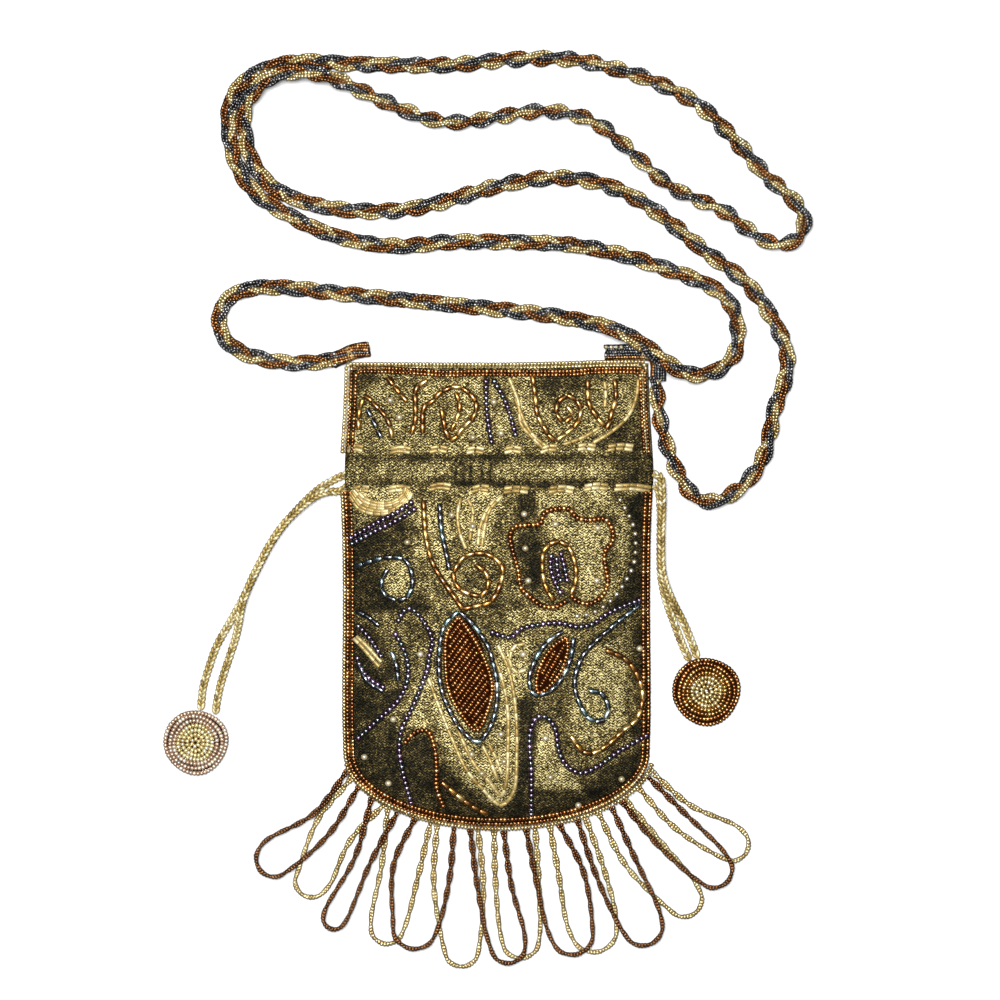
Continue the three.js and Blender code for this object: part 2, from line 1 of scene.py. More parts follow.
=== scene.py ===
"""Looks of a beaded drawstring bag that lies on its back, seen from above.

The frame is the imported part's: +Y from the fringe to the mouth, +X to the right as the front is seen, +Z up.
Blender works in metres. Sizes here are millimetres, and meshes are scaled once, when they are made.
"""

from __future__ import annotations

import logging
import math
from collections.abc import Sequence
from dataclasses import dataclass, field
from enum import Enum

import bmesh
import bpy
import numpy as np
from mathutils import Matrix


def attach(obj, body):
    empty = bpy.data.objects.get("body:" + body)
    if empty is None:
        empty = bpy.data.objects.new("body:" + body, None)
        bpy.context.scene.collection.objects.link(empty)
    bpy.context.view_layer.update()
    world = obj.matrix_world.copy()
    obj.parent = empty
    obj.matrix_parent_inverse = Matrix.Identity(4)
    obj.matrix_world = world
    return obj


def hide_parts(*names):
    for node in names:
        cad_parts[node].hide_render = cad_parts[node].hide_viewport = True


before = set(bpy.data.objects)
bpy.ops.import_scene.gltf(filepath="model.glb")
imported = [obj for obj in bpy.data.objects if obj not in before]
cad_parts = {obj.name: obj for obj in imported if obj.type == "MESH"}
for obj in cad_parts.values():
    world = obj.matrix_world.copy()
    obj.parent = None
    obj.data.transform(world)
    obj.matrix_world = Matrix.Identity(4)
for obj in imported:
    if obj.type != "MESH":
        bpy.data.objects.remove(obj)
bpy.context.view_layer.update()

LOG = logging.getLogger("bag")
MM = 0.001
TURN = 2.0 * math.pi
SEED = 20
UP = np.array([0.0, 0.0, 1.0])
RIGHT = np.array([1.0, 0.0, 0.0])

Array = np.ndarray
Piece = bpy.types.Object
Socket = bpy.types.NodeSocket
Colour = tuple[float, float, float]
Stops = tuple[tuple[float, Colour], ...]
Points = Sequence[tuple[float, ...]]
Range = tuple[float, float]


class Slot(Enum):
    """The record's material slots."""

    BROCADE = "brocade"
    BACK_CLOTH = "back_cloth"
    GOLD = "gold_beads"
    BRONZE = "bronze_beads"
    DARK = "dark_beads"
    CORD = "gold_cord"


class Look(Enum):
    """Finishes of the bag's surfaces."""

    BROCADE = "brocade"
    BACK_CLOTH = "back_cloth"
    GOLD = "gold_beads"
    BRONZE = "bronze_beads"
    # Bronze beads with painted glare, for the left disc.
    MAUVE = "mauve_beads"
    DARK = "gunmetal_beads"
    AMBER = "amber_bugles"
    TEAL = "teal_bugles"
    PURPLE = "purple_beads"
    CLEAR = "clear_beads"
    # Gold beads with painted glare, for the left disc.
    CREAM = "cream_beads"
    PEARL = "pearls"
    THREAD = "gold_thread"
    CORD = "gold_cord"
    CORE = "dark_core"


class Form(Enum):
    """Small shapes that are repeated many times."""

    SEED = "seed"
    RING = "ring"
    BARREL = "barrel"
    BUGLE = "bugle"
    PEARL = "pearl"


def unit(vectors: Array) -> Array:
    """Returns vectors scaled to length one."""
    return vectors / np.maximum(np.linalg.norm(vectors, axis=-1, keepdims=True), 1e-12)


def smoothstep(low: float, high: float, value: Array) -> Array:
    """Returns 0 below low, 1 above high and a smooth rise between them."""
    share = np.clip((value - low) / (high - low), 0.0, 1.0)
    return share * share * (3.0 - 2.0 * share)


def toned(colour: Colour, share: float) -> Colour:
    """Returns a colour made darker or lighter by a share."""
    red, green, blue = colour
    return share * red, share * green, share * blue


class NodeSheet:
    """A material's node tree, with short calls that add and link its nodes."""

    def __init__(self, name: str) -> None:
        """Starts a material with a principled shader.

        Args:
            name: the material's name.
        """
        self.material = bpy.data.materials.new(name)
        self.material.use_nodes = True
        self.tree = self.material.node_tree
        self.tree.nodes.clear()
        output = self.add("ShaderNodeOutputMaterial")
        self.shader = self.add("ShaderNodeBsdfPrincipled")
        self.link(self.shader.outputs["BSDF"], output.inputs["Surface"])

    def add(self, kind: str, **settings: object) -> bpy.types.Node:
        """Adds a node.

        Args:
            kind: the node's type.
            settings: values for the node's own properties.

        Returns:
            The new node.
        """
        node = self.tree.nodes.new(kind)
        for name, value in settings.items():
            setattr(node, name, value)
        return node

    def link(self, source: Socket, target: Socket) -> None:
        """Links two sockets."""
        self.tree.links.new(source, target)

    def feed(self, target: Socket, value: object) -> None:
        """Links a socket to target, or sets target to a plain value.

        Args:
            target: the socket that is fed.
            value: a socket, a number or a colour.
        """
        if isinstance(value, Socket):
            self.link(value, target)
        else:
            target.default_value = (*value, 1.0) if isinstance(value, tuple) else value

    def constants(self, **values: float) -> None:
        """Sets the shader's own sockets, named with underscores for spaces."""
        for name, value in values.items():
            self.shader.inputs[name.replace("_", " ")].default_value = value

    def attribute(self, name: str) -> Socket:
        """Returns the value of one of the mesh's attributes."""
        return self.add("ShaderNodeAttribute", attribute_name=name).outputs["Fac"]

    def maths(self, operation: str, *values: object) -> Socket:
        """Adds a maths node.

        Args:
            operation: the node's operation.
            values: its inputs, sockets or numbers.

        Returns:
            The result's socket.
        """
        node = self.add("ShaderNodeMath", operation=operation)
        for target, value in zip(node.inputs, values):
            self.feed(target, value)
        return node.outputs[0]

    def ramp(self, factor: Socket, stops: Stops) -> Socket:
        """Adds a colour ramp.

        Args:
            factor: what the ramp reads.
            stops: places and colours.

        Returns:
            The colour's socket.
        """
        node = self.add("ShaderNodeValToRGB")
        elements = node.color_ramp.elements
        while len(elements) < len(stops):
            elements.new(1.0)
        for element, (place, colour) in zip(elements, stops):
            element.position = place
            element.color = (*colour, 1.0)
        self.link(factor, node.inputs["Fac"])
        return node.outputs["Color"]

    def mix(self, factor: object, first: object, second: object) -> Socket:
        """Adds a colour mix.

        Args:
            factor: share of the second colour.
            first: the first colour, a socket or a colour.
            second: the second colour.

        Returns:
            The colour's socket.
        """
        node = self.add("ShaderNodeMix", data_type="RGBA")
        for name, value in (("Factor", factor), ("A", first), ("B", second)):
            self.feed(node.inputs[name], value)
        return node.outputs["Result"]

    def place(self, scale: float, turn: float = 0.0, stretch: float = 1.0) -> Socket:
        """Adds the object's coordinates in units of 1/scale metres.

        Args:
            scale: units to the metre.
            turn: angle about Z, in radians.
            stretch: how much longer the pattern is along its own X.

        Returns:
            The vector's socket.
        """
        coordinates = self.add("ShaderNodeTexCoord")
        mapping = self.add("ShaderNodeMapping", vector_type="TEXTURE")
        mapping.inputs["Rotation"].default_value = (0.0, 0.0, turn)
        mapping.inputs["Scale"].default_value = (stretch / scale, 1.0 / scale, 1.0 / scale)
        self.link(coordinates.outputs["Object"], mapping.inputs["Vector"])
        return mapping.outputs["Vector"]

    def noise(self, vector: Socket) -> Socket:
        """Adds a noise with one cell to a unit.

        Args:
            vector: the place that it is read at.

        Returns:
            The value's socket.
        """
        node = self.add("ShaderNodeTexNoise")
        node.inputs["Scale"].default_value = 1.0
        self.link(vector, node.inputs["Vector"])
        return node.outputs["Fac"]

    def shaded(self, tones: Stops, ends: float, dark: Colour) -> Socket:
        """Adds the colour of small shapes, each with a shade of its own and with painted shade darkening its
        ends, where neighbours meet.

        Args:
            tones: the colours of the shades.
            ends: how far painted shade darkens the ends.
            dark: the colour of that painted shade.

        Returns:
            The colour's socket.
        """
        colour = self.ramp(self.attribute("shade"), tones)
        # Painted shade: rim is 1 at each shape's ends and 0 round its middle, so the ends turn dark.
        depth = self.maths("MULTIPLY", self.maths("POWER", self.attribute("rim"), 2.0), ends)
        return self.mix(depth, colour, dark)

    def bump(self, height: Socket, strength: float, depth: float) -> None:
        """Adds a bump under the shader.

        Args:
            height: what it reads.
            strength: its strength.
            depth: its height in metres.
        """
        node = self.add("ShaderNodeBump")
        node.inputs["Strength"].default_value = strength
        node.inputs["Distance"].default_value = depth
        self.link(height, node.inputs["Height"])
        self.link(node.outputs["Normal"], self.shader.inputs["Normal"])


@dataclass(frozen=True)
class BeadFinish:
    """Lustred glass: each bead has a shade of its own, and painted shade darkens it towards its hole, where it
    meets its neighbours.
    """

    tones: Stops
    metallic: float = 0.96
    roughness: float = 0.3
    coat: float = 0.8
    coat_ior: float = 1.8
    coat_roughness: float = 0.18
    # How far painted shade darkens each bead towards its ends, and how dark that painted shade is, as a share
    # of the darkest tone.
    gap_shade: float = 0.7
    gap_shade_tone: float = 0.1

    def material(self, name: str) -> bpy.types.Material:
        """Makes the finish's material.

        Args:
            name: the material's name.

        Returns:
            The material.
        """
        sheet = NodeSheet(name)
        # The painted shade at each bead's ends is the darkest tone, darkened further.
        colour = sheet.shaded(self.tones, self.gap_shade, toned(self.tones[0][1], self.gap_shade_tone))
        sheet.link(colour, sheet.shader.inputs["Base Color"])
        sheet.constants(Metallic=self.metallic, Roughness=self.roughness, Coat_Weight=self.coat)
        sheet.constants(Coat_Roughness=self.coat_roughness, Coat_IOR=self.coat_ior)
        return sheet.material


@dataclass(frozen=True)
class ThreadFinish:
    """Metallic thread, with fine turns along each stitch and painted shade darkening each stitch's ends."""

    tones: Stops
    metallic: float = 0.45
    roughness: float = 0.42
    # How far painted shade darkens each stitch's ends; dark_tone gives the colour of that painted shade and of
    # the streaks, as a share of the darkest tone.
    ends: float = 0.4
    streaks: float = 0.4
    dark_tone: float = 0.25
    fibres_to_metre: float = 4200.0
    fibre_turn: float = 0.7
    fibre_stretch: float = 3.0
    relief_strength: float = 0.5
    relief: float = 0.0002

    def material(self, name: str) -> bpy.types.Material:
        """Makes the finish's material.

        Args:
            name: the material's name.

        Returns:
            The material.
        """
        sheet = NodeSheet(name)
        fibres = sheet.noise(sheet.place(self.fibres_to_metre, self.fibre_turn, self.fibre_stretch))
        # The darkest tone, darkened further: painted shade at each stitch's ends, and the streaks' colour.
        dark = toned(self.tones[0][1], self.dark_tone)
        colour = sheet.shaded(self.tones, self.ends, dark)
        streaked = sheet.mix(sheet.maths("MULTIPLY", fibres, self.streaks), colour, dark)
        sheet.link(streaked, sheet.shader.inputs["Base Color"])
        sheet.constants(Metallic=self.metallic, Roughness=self.roughness)
        sheet.bump(fibres, self.relief_strength, self.relief)
        return sheet.material


@dataclass(frozen=True)
class BrocadeFinish:
    """A dark ground crossed by zigzag metallic threads, with painted glints and painted sheen that are
    strongest where the sheen value is high.
    """

    tones: Stops
    cover: float = 0.55
    contrast: float = 3.3
    calm_share: float = 0.45
    glint_share: float = 1.1
    zigzag: float = 0.8
    zigzag_slope: float = 0.9
    ridge: float = 0.95
    wave: float = 0.06
    flecks_to_metre: float = 2300.0
    fleck_turn: float = 0.5
    crossings_to_metre: float = 2500.0
    crossing_turn: float = -0.6
    fleck_stretch: float = 1.8
    patches_to_metre: float = 110.0
    blotches_to_metre: float = 330.0
    unevenness: float = 0.6
    metallic: float = 0.2
    roughness: float = 0.5
    relief_strength: float = 0.6
    relief: float = 0.0004

    def material(self, name: str) -> bpy.types.Material:
        """Makes the finish's material.

        Args:
            name: the material's name.

        Returns:
            The material.
        """
        sheet = NodeSheet(name)
        axes = sheet.add("ShaderNodeSeparateXYZ")
        sheet.link(sheet.place(1.0 / MM), axes.inputs["Vector"])
        fold = sheet.maths("PINGPONG", axes.outputs["X"], self.zigzag)
        lines = sheet.maths("ADD", axes.outputs["Y"], sheet.maths("MULTIPLY", fold, self.zigzag_slope))
        waves = sheet.maths("SINE", sheet.maths("MULTIPLY", lines, TURN / self.ridge))
        flecks = sheet.noise(sheet.place(self.flecks_to_metre, self.fleck_turn, self.fleck_stretch))
        crossing = sheet.noise(sheet.place(self.crossings_to_metre, self.crossing_turn, self.fleck_stretch))
        grain = sheet.maths("MULTIPLY", sheet.maths("ADD", flecks, crossing), 0.5)
        weave = sheet.maths("ADD", sheet.maths("MULTIPLY", waves, self.wave), grain)
        # Painted sheen: the mesh's sheen value, made uneven by patches and blotches, lifts the colour and
        # sharpens the painted glints.
        patches = sheet.noise(sheet.place(self.patches_to_metre))
        blotches = sheet.noise(sheet.place(self.blotches_to_metre))
        both = sheet.maths("ADD", patches, blotches)
        uneven = sheet.maths("MULTIPLY_ADD", both, self.unevenness, -self.unevenness)
        sheen = sheet.maths("ADD", sheet.attribute("sheen"), uneven)
        glint, calm = self.glint_share * self.contrast, self.calm_share * self.contrast
        strength = sheet.maths("MULTIPLY_ADD", sheen, glint, calm)
        sharp = sheet.maths("MULTIPLY", sheet.maths("SUBTRACT", weave, 0.5), strength)
        lift = sheet.maths("MULTIPLY_ADD", sheen, self.cover, 0.5 - 0.5 * self.cover)
        raised = sheet.maths("ADD", sharp, lift)
        sheet.link(sheet.ramp(raised, self.tones), sheet.shader.inputs["Base Color"])
        sheet.constants(Metallic=self.metallic, Roughness=self.roughness, Specular_IOR_Level=0.0)
        sheet.bump(weave, self.relief_strength, self.relief)
        return sheet.material


@dataclass(frozen=True)
class PlainFinish:
    """A dark filling that shows only between beads."""

    colour: Colour
    light_tone: float = 1.9
    roughness: float = 0.85
    threads_to_metre: float = 2500.0
    thread_turn: float = 0.4
    thread_stretch: float = 2.0
    relief_strength: float = 0.4
    relief: float = 0.0002

    def material(self, name: str) -> bpy.types.Material:
        """Makes the finish's material.

        Args:
            name: the material's name.

        Returns:
            The material.
        """
        sheet = NodeSheet(name)
        threads = sheet.noise(sheet.place(self.threads_to_metre, self.thread_turn, self.thread_stretch))
        colour = sheet.mix(threads, self.colour, toned(self.colour, self.light_tone))
        sheet.link(colour, sheet.shader.inputs["Base Color"])
        sheet.constants(Roughness=self.roughness, Specular_IOR_Level=0.0)
        sheet.bump(threads, self.relief_strength, self.relief)
        return sheet.material


# Ramp of the brocade: the lowest stop is painted shade between threads, the highest a painted glint; between
# them the dark ground and the gold thread.
CLOTH_TONES = (
    (0.10, (0.004, 0.004, 0.003)),
    (0.25, (0.014, 0.0135, 0.009)),
    (0.38, (0.037, 0.029, 0.014)),
    (0.50, (0.087, 0.065, 0.025)),
    (0.63, (0.205, 0.152, 0.052)),
    (0.80, (0.50, 0.41, 0.155)),
    (0.96, (0.90, 0.79, 0.40)),
)

FINISHES = {
    Look.BROCADE: BrocadeFinish(CLOTH_TONES),
    Look.BACK_CLOTH: BrocadeFinish(CLOTH_TONES, cover=0.3, contrast=1.8),
    Look.GOLD: BeadFinish(
        ((0.0, (0.38, 0.25, 0.07)), (0.5, (0.66, 0.50, 0.20)), (1.0, (0.92, 0.81, 0.48))),
        metallic=0.78,
    ),
    Look.BRONZE: BeadFinish(
        ((0.0, (0.13, 0.042, 0.008)), (0.6, (0.40, 0.155, 0.032)), (1.0, (0.84, 0.48, 0.17))),
        coat=0.35,
    ),
    # Bronze beads with painted glare: a paler copy of the bronze for the left disc.
    Look.MAUVE: BeadFinish(
        ((0.0, (0.42, 0.25, 0.15)), (0.6, (0.67, 0.48, 0.34)), (1.0, (0.92, 0.79, 0.62))),
        metallic=0.5,
    ),
    Look.DARK: BeadFinish(
        ((0.0, (0.03, 0.03, 0.033)), (0.7, (0.09, 0.09, 0.096)), (1.0, (0.45, 0.44, 0.45))),
        metallic=0.98,
    ),
    Look.AMBER: BeadFinish(
        ((0.0, (0.20, 0.075, 0.012)), (0.6, (0.46, 0.22, 0.035)), (1.0, (0.88, 0.62, 0.22))),
        metallic=0.94,
        coat=0.5,
    ),
    Look.TEAL: BeadFinish(
        (
            (0.0, (0.012, 0.014, 0.022)),
            (0.5, (0.025, 0.04, 0.06)),
            (0.75, (0.05, 0.11, 0.13)),
            (0.9, (0.22, 0.38, 0.40)),
            (1.0, (0.70, 0.78, 0.74)),
        ),
        metallic=0.97,
        coat=1.0,
        coat_ior=2.3,
    ),
    Look.PURPLE: BeadFinish(
        (
            (0.0, (0.05, 0.02, 0.06)),
            (0.5, (0.12, 0.05, 0.15)),
            (0.75, (0.04, 0.08, 0.08)),
            (1.0, (0.42, 0.26, 0.46)),
        ),
        metallic=0.98,
        coat=1.0,
        coat_ior=2.2,
    ),
    Look.CLEAR: BeadFinish(
        ((0.0, (0.55, 0.48, 0.32)), (1.0, (0.92, 0.88, 0.74))),
        metallic=0.8,
        roughness=0.4,
        coat=1.0,
        coat_ior=2.2,
    ),
    # Gold beads with painted glare: a paler copy of the gold for the left disc.
    Look.CREAM: BeadFinish(
        ((0.0, (0.50, 0.37, 0.13)), (0.5, (0.78, 0.63, 0.28)), (1.0, (0.96, 0.88, 0.56))),
        metallic=0.55,
    ),
    Look.PEARL: BeadFinish(
        ((0.0, (0.46, 0.37, 0.19)), (1.0, (0.78, 0.69, 0.45))),
        metallic=0.35,
        coat=1.0,
        coat_ior=2.2,
        gap_shade=0.0,
    ),
    Look.THREAD: ThreadFinish(
        ((0.0, (0.40, 0.26, 0.07)), (0.5, (0.70, 0.52, 0.19)), (1.0, (1.0, 0.86, 0.46)))
    ),
    Look.CORD: ThreadFinish(
        ((0.0, (0.18, 0.11, 0.025)), (0.45, (0.62, 0.46, 0.15)), (1.0, (1.0, 0.90, 0.56)))
    ),
    Look.CORE: PlainFinish((0.014, 0.003, 0.001)),
}


class Palette:
    """The bag's materials, each made when it is first asked for."""

    def __init__(self) -> None:
        """Starts with no material made."""
        self._made: dict[Look, bpy.types.Material] = {}

    def material(self, look: Look) -> bpy.types.Material:
        """Finds or makes a material.

        Args:
            look: which finish.

        Returns:
            The finish's material.
        """
        if look not in self._made:
            self._made[look] = FINISHES[look].material(look.value)
        return self._made[look]


class Route:
    """A smooth line, measured along its length, in millimetres."""

    SPAN_SAMPLES = 24

    def __init__(self, places: Array) -> None:
        """Takes a line as it is.

        Args:
            places: points that lie close together.
        """
        self.places = places
        steps = np.linalg.norm(np.diff(places, axis=0), axis=1)
        self.marks = np.concatenate([[0.0], np.cumsum(steps)])

    @classmethod
    def through(cls, points: Points | Array) -> Route:
        """Draws a smooth line through given points.

        Args:
            points: the points, which the line passes through.

        Returns:
            The line.
        """
        knots = np.array(points, float)
        padded = np.vstack([2.0 * knots[0] - knots[1], knots, 2.0 * knots[-1] - knots[-2]])
        spans = np.sqrt(np.linalg.norm(np.diff(padded, axis=0), axis=1))
        t = np.linspace(0.0, 1.0, cls.SPAN_SAMPLES, endpoint=False)[:, None]
        pieces = []
        for i in range(len(knots) - 1):
            before, start, end, after = padded[i : i + 4]
            low, span, high = spans[i : i + 3]
            leave = span * ((start - before) / low - (end - before) / (low + span)) + (end - start)
            arrive = span * ((after - end) / high - (after - start) / (span + high)) + (end - start)
            pieces.append(
                (2.0 * t**3 - 3.0 * t**2 + 1.0) * start
                + (t**3 - 2.0 * t**2 + t) * leave
                + (3.0 * t**2 - 2.0 * t**3) * end
                + (t**3 - t**2) * arrive
            )
        return cls(np.vstack([*pieces, knots[-1:]]))

    @property
    def length(self) -> float:
        """The line's length."""
        return float(self.marks[-1])

    def knot(self, index: int) -> float:
        """Returns the distance along the line to one of the points it was drawn through."""
        return float(self.marks[index * self.SPAN_SAMPLES])

    def at(self, distances: Array) -> Array:
        """Returns the places at some distances along the line."""
        return np.stack([np.interp(distances, self.marks, axis) for axis in self.places.T], axis=1)

    def headings(self, distances: Array, reach: float = 0.4) -> Array:
        """Returns the directions of the line at some distances along it."""
        ahead = self.at(np.minimum(distances + reach, self.length))
        return unit(ahead - self.at(np.maximum(distances - reach, 0.0)))


@dataclass(frozen=True)
class Size:
    """A bead's length along its thread, its width across it and its height off the cloth."""

    length: float
    width: float
    height: float


# Sides of a tube, and how much of each rim is cut away. Columns and rings of a ball.
TUBES = {Form.RING: (7, 0.0), Form.BARREL: (6, 0.42), Form.BUGLE: (6, 0.14)}
BALLS = {Form.PEARL: (8, 6), Form.SEED: (6, 4)}


def template(form: Form) -> tuple[Array, list[list[int]]]:
    """Models one small shape two units across, with its thread along Z.

    Args:
        form: which shape.

    Returns:
        Its corners, and the corners of each face.
    """
    shape = bmesh.new()
    if form in TUBES:
        sides, cut = TUBES[form]
        bmesh.ops.create_cone(
            shape, cap_ends=True, cap_tris=False, segments=sides, radius1=1.0, radius2=1.0, depth=2.0
        )
        rims = [edge for edge in shape.edges if edge.verts[0].co.z * edge.verts[1].co.z > 0.0]
        if cut:
            bmesh.ops.bevel(
                shape, geom=rims, offset=cut, segments=1, profile=0.5, affect="EDGES", material=-1
            )
    else:
        columns, rings = BALLS[form]
        bmesh.ops.create_uvsphere(shape, u_segments=columns, v_segments=rings, radius=1.0)
    bmesh.ops.recalc_face_normals(shape, faces=shape.faces)
    shape.verts.index_update()
    corners = np.array([vert.co for vert in shape.verts])
    faces = [[vert.index for vert in face.verts] for face in shape.faces]
    shape.free()
    return corners, faces


@dataclass
class Beading:
    """Beads or stitches of one form, gathered and then joined into one mesh."""

    form: Form
    rng: np.random.Generator = field(default_factory=lambda: np.random.default_rng(SEED))
    centres: list[Array] = field(default_factory=list)
    frames: list[Array] = field(default_factory=list)
    shades: list[Array] = field(default_factory=list)
    tones: list[Array] = field(default_factory=list)

    def lay(
        self,
        centres: Array,
        along: Array,
        size: Size,
        up: Array = UP,
        shade: Range = (0.0, 1.0),
        tone: int = 0,
        scale: Array | float = 1.0,
    ) -> None:
        """Lays beads.

        Args:
            centres: their middles.
            along: the directions of their threads, one for all or one each.
            size: their size.
            up: the way their height points, one for all or one each.
            shade: the range of their shades.
            tone: which of the piece's finishes they have.
            scale: how much larger each is than size.
        """
        along = unit(np.broadcast_to(along, centres.shape))
        side = unit(np.cross(along, np.broadcast_to(up, along.shape)))
        top = np.cross(side, along)
        scale = np.broadcast_to(np.asarray(scale, float), (len(centres),))[:, None]
        halves = (side * size.width, top * size.height, along * size.length)
        self.centres.append(centres)
        self.frames.append(np.stack([0.5 * scale * half for half in halves], axis=1))
        self.shades.append(self.rng.uniform(*shade, len(centres)))
        self.tones.append(np.full(len(centres), tone))

    def string(
        self,
        route: Route,
        size: Size,
        up: Array = UP,
        shade: Range = (0.0, 1.0),
        tone: int = 0,
        span: Range | None = None,
        jitter: float = 0.06,
        gap: float = 0.0,
    ) -> None:
        """Threads beads along a line, end to end.

        Args:
            route: the line.
            size: a bead's size.
            up: the way their height points.
            shade: the range of their shades.
            tone: which of the piece's finishes they have.
            span: the stretch of the line that they fill, or None for all of it.
            jitter: how much they differ in size.
            gap: how far apart they are.
        """
        start, end = span or (0.0, route.length)
        count = max(1, round((end - start) / (size.length + gap)))
        distances = start + (np.arange(count) + 0.5) * (end - start) / count
        scale = 1.0 + self.rng.uniform(-jitter, jitter, count)
        self.lay(route.at(distances), route.headings(distances), size, up, shade, tone, scale)

    def joined(self, name: str) -> Piece:
        """Joins the beads into one mesh.

        Args:
            name: the piece's name.

        Returns:
            The new object.
        """
        corners, faces = template(self.form)
        centres = np.concatenate(self.centres)
        places = centres[:, None, :] + np.einsum("vk,nkc->nvc", corners, np.concatenate(self.frames))
        count, size = places.shape[:2]
        loops = np.concatenate(faces)
        starts = np.cumsum([0, *(len(face) for face in faces[:-1])])
        steps = np.arange(count)[:, None]
        mesh = bpy.data.meshes.new(name)
        mesh.vertices.add(count * size)
        mesh.vertices.foreach_set("co", (places * MM).astype(np.float32).ravel())
        mesh.loops.add(count * len(loops))
        mesh.loops.foreach_set("vertex_index", (loops[None] + size * steps).astype(np.int32).ravel())
        mesh.polygons.add(count * len(faces))
        mesh.polygons.foreach_set("loop_start", (starts[None] + len(loops) * steps).astype(np.int32).ravel())
        mesh.polygons.foreach_set("use_smooth", np.ones(count * len(faces), bool))
        tones = np.repeat(np.concatenate(self.tones), len(faces)).astype(np.int32)
        mesh.polygons.foreach_set("material_index", tones)
        write_values(mesh, "shade", np.repeat(np.concatenate(self.shades), size))
        # The rim value is 1 at each shape's ends round its hole and 0 round its middle; the materials paint
        # shade by it.
        inward = 1.0 - np.hypot(corners[:, 0], corners[:, 1])
        write_values(mesh, "rim", np.tile(inward / max(inward.max(), 0.01), count))
        mesh.update(calc_edges=True)
        mesh.validate()
        return new_object(name, mesh)


def write_values(mesh: bpy.types.Mesh, name: str, values: Array) -> None:
    """Stores one value for each of a mesh's points."""
    layer = mesh.attributes.new(name, "FLOAT", "POINT")
    layer.data.foreach_set("value", values.astype(np.float32))


def new_object(name: str, mesh: bpy.types.Mesh) -> Piece:
    """Puts a mesh into the scene as an object at the origin.

    Args:
        name: the object's name.
        mesh: its mesh.

    Returns:
        The new object.
    """
    piece = bpy.data.objects.new(name, mesh)
    bpy.context.scene.collection.objects.link(piece)
    return piece


def modelled(name: str, shape: bmesh.types.BMesh) -> Piece:
    """Turns a finished bmesh into an object, and frees it.

    Args:
        name: the object's name.
        shape: the bmesh, in metres.

    Returns:
        The new object.
    """
    mesh = bpy.data.meshes.new(name)
    shape.to_mesh(mesh)
    shape.free()
    return new_object(name, mesh)


@dataclass
class Assembly:
    """What every sub-assembly shares: its materials and how its pieces join the frame."""

    palette: Palette

    def settle(
        self, piece: Piece, looks: Sequence[Look], slot: Slot, nodes: Sequence[str] = ()
    ) -> Piece:
        """Dresses a piece and fixes it to the frame.

        Args:
            piece: the new piece.
            looks: its finishes, in the order of its material slots.
            slot: the record's slot that it belongs to; not used.
            nodes: the solids that it stands for.

        Returns:
            The same piece.
        """
        for look in looks:
            piece.data.materials.append(self.palette.material(look))
        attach(piece, "root")
        if nodes:
            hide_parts(*nodes)
        LOG.info("%s: %d faces", piece.name, len(piece.data.polygons))
        return piece


@dataclass(frozen=True)
class Lamp:
    """A square light that faces the bag: its place and side in metres and its power in watts."""

    name: str
    place: tuple[float, float, float]
    side: float
    power: float


@dataclass
class Studio:
    """The pale floor, the soft light and the camera straight above."""

    floor_half: float = 3.0
    floor_colour: Colour = (0.93, 0.93, 0.93)
    floor_roughness: float = 0.9
    view_centre: tuple[float, float] = (0.00036, 0.0338)
    view_width: float = 0.36
    view_height: float = 1.2
    sensor: float = 36.0
    sky: float = 0.05
    lamps: tuple[Lamp, ...] = (
        Lamp("key", (-0.10, 0.16, 1.35), 0.36, 22.0),
        Lamp("left", (-0.60, 0.45, 0.9), 0.5, 1.3),
        Lamp("right", (0.65, 0.20, 0.9), 0.5, 1.3),
        Lamp("front", (-0.05, -0.65, 1.0), 0.5, 1.3),
    )

    def camera(self) -> None:
        """Sets up the camera, which looks straight down with the mouth at the top."""
        data = bpy.data.cameras.new("camera")
        data.sensor_width = self.sensor
        data.lens = self.sensor * self.view_height / self.view_width
        camera = bpy.data.objects.new("camera", data)
        camera.location = (*self.view_centre, self.view_height)
        bpy.context.scene.collection.objects.link(camera)
        bpy.context.scene.camera = camera

    def floor(self) -> None:
        """Lays the floor."""
        shape = bmesh.new()
        bmesh.ops.create_grid(shape, x_segments=1, y_segments=1, size=self.floor_half)
        floor = modelled("floor", shape)
        sheet = NodeSheet("floor")
        sheet.feed(sheet.shader.inputs["Base Color"], self.floor_colour)
        sheet.constants(Roughness=self.floor_roughness)
        floor.data.materials.append(sheet.material)
        floor.visible_glossy = False
        floor.visible_diffuse = False

    def light(self, lamp: Lamp) -> None:
        """Adds a square light that faces the bag.

        Args:
            lamp: the light's place, side and power.
        """
        data = bpy.data.lights.new(lamp.name, "AREA")
        data.size = lamp.side
        data.energy = lamp.power
        light = bpy.data.objects.new(lamp.name, data)
        light.location = lamp.place
        aim = np.array([*self.view_centre, 0.0]) - np.array(lamp.place)
        tilt = math.atan2(math.hypot(aim[0], aim[1]), -aim[2])
        light.rotation_euler = (tilt, 0.0, math.atan2(aim[0], -aim[1]) + math.pi)
        bpy.context.scene.collection.objects.link(light)

    def build(self) -> None:
        """Builds the studio."""
        self.camera()
        self.floor()
        for lamp in self.lamps:
            self.light(lamp)
        world = bpy.data.worlds.new("world")
        world.use_nodes = True
        background = world.node_tree.nodes["Background"]
        background.inputs["Color"].default_value = (1.0, 1.0, 1.0, 1.0)
        background.inputs["Strength"].default_value = self.sky
        bpy.context.scene.world = world
        bpy.context.scene.view_settings.view_transform = "Standard"


@dataclass(frozen=True)
class Section:
    """A cross section of the pouch: how wide it is and how far the front stands off the back."""

    y: float
    half: float
    crown: float


@dataclass(frozen=True)
class Spot:
    """A soft patch of painted sheen or painted shade on the brocade."""

    x: float
    y: float
    reach_x: float
    reach_y: float
    sheen: float


CHART_PITCH = 0.36
CHART_CENTRE = np.array([499.0, 594.0])


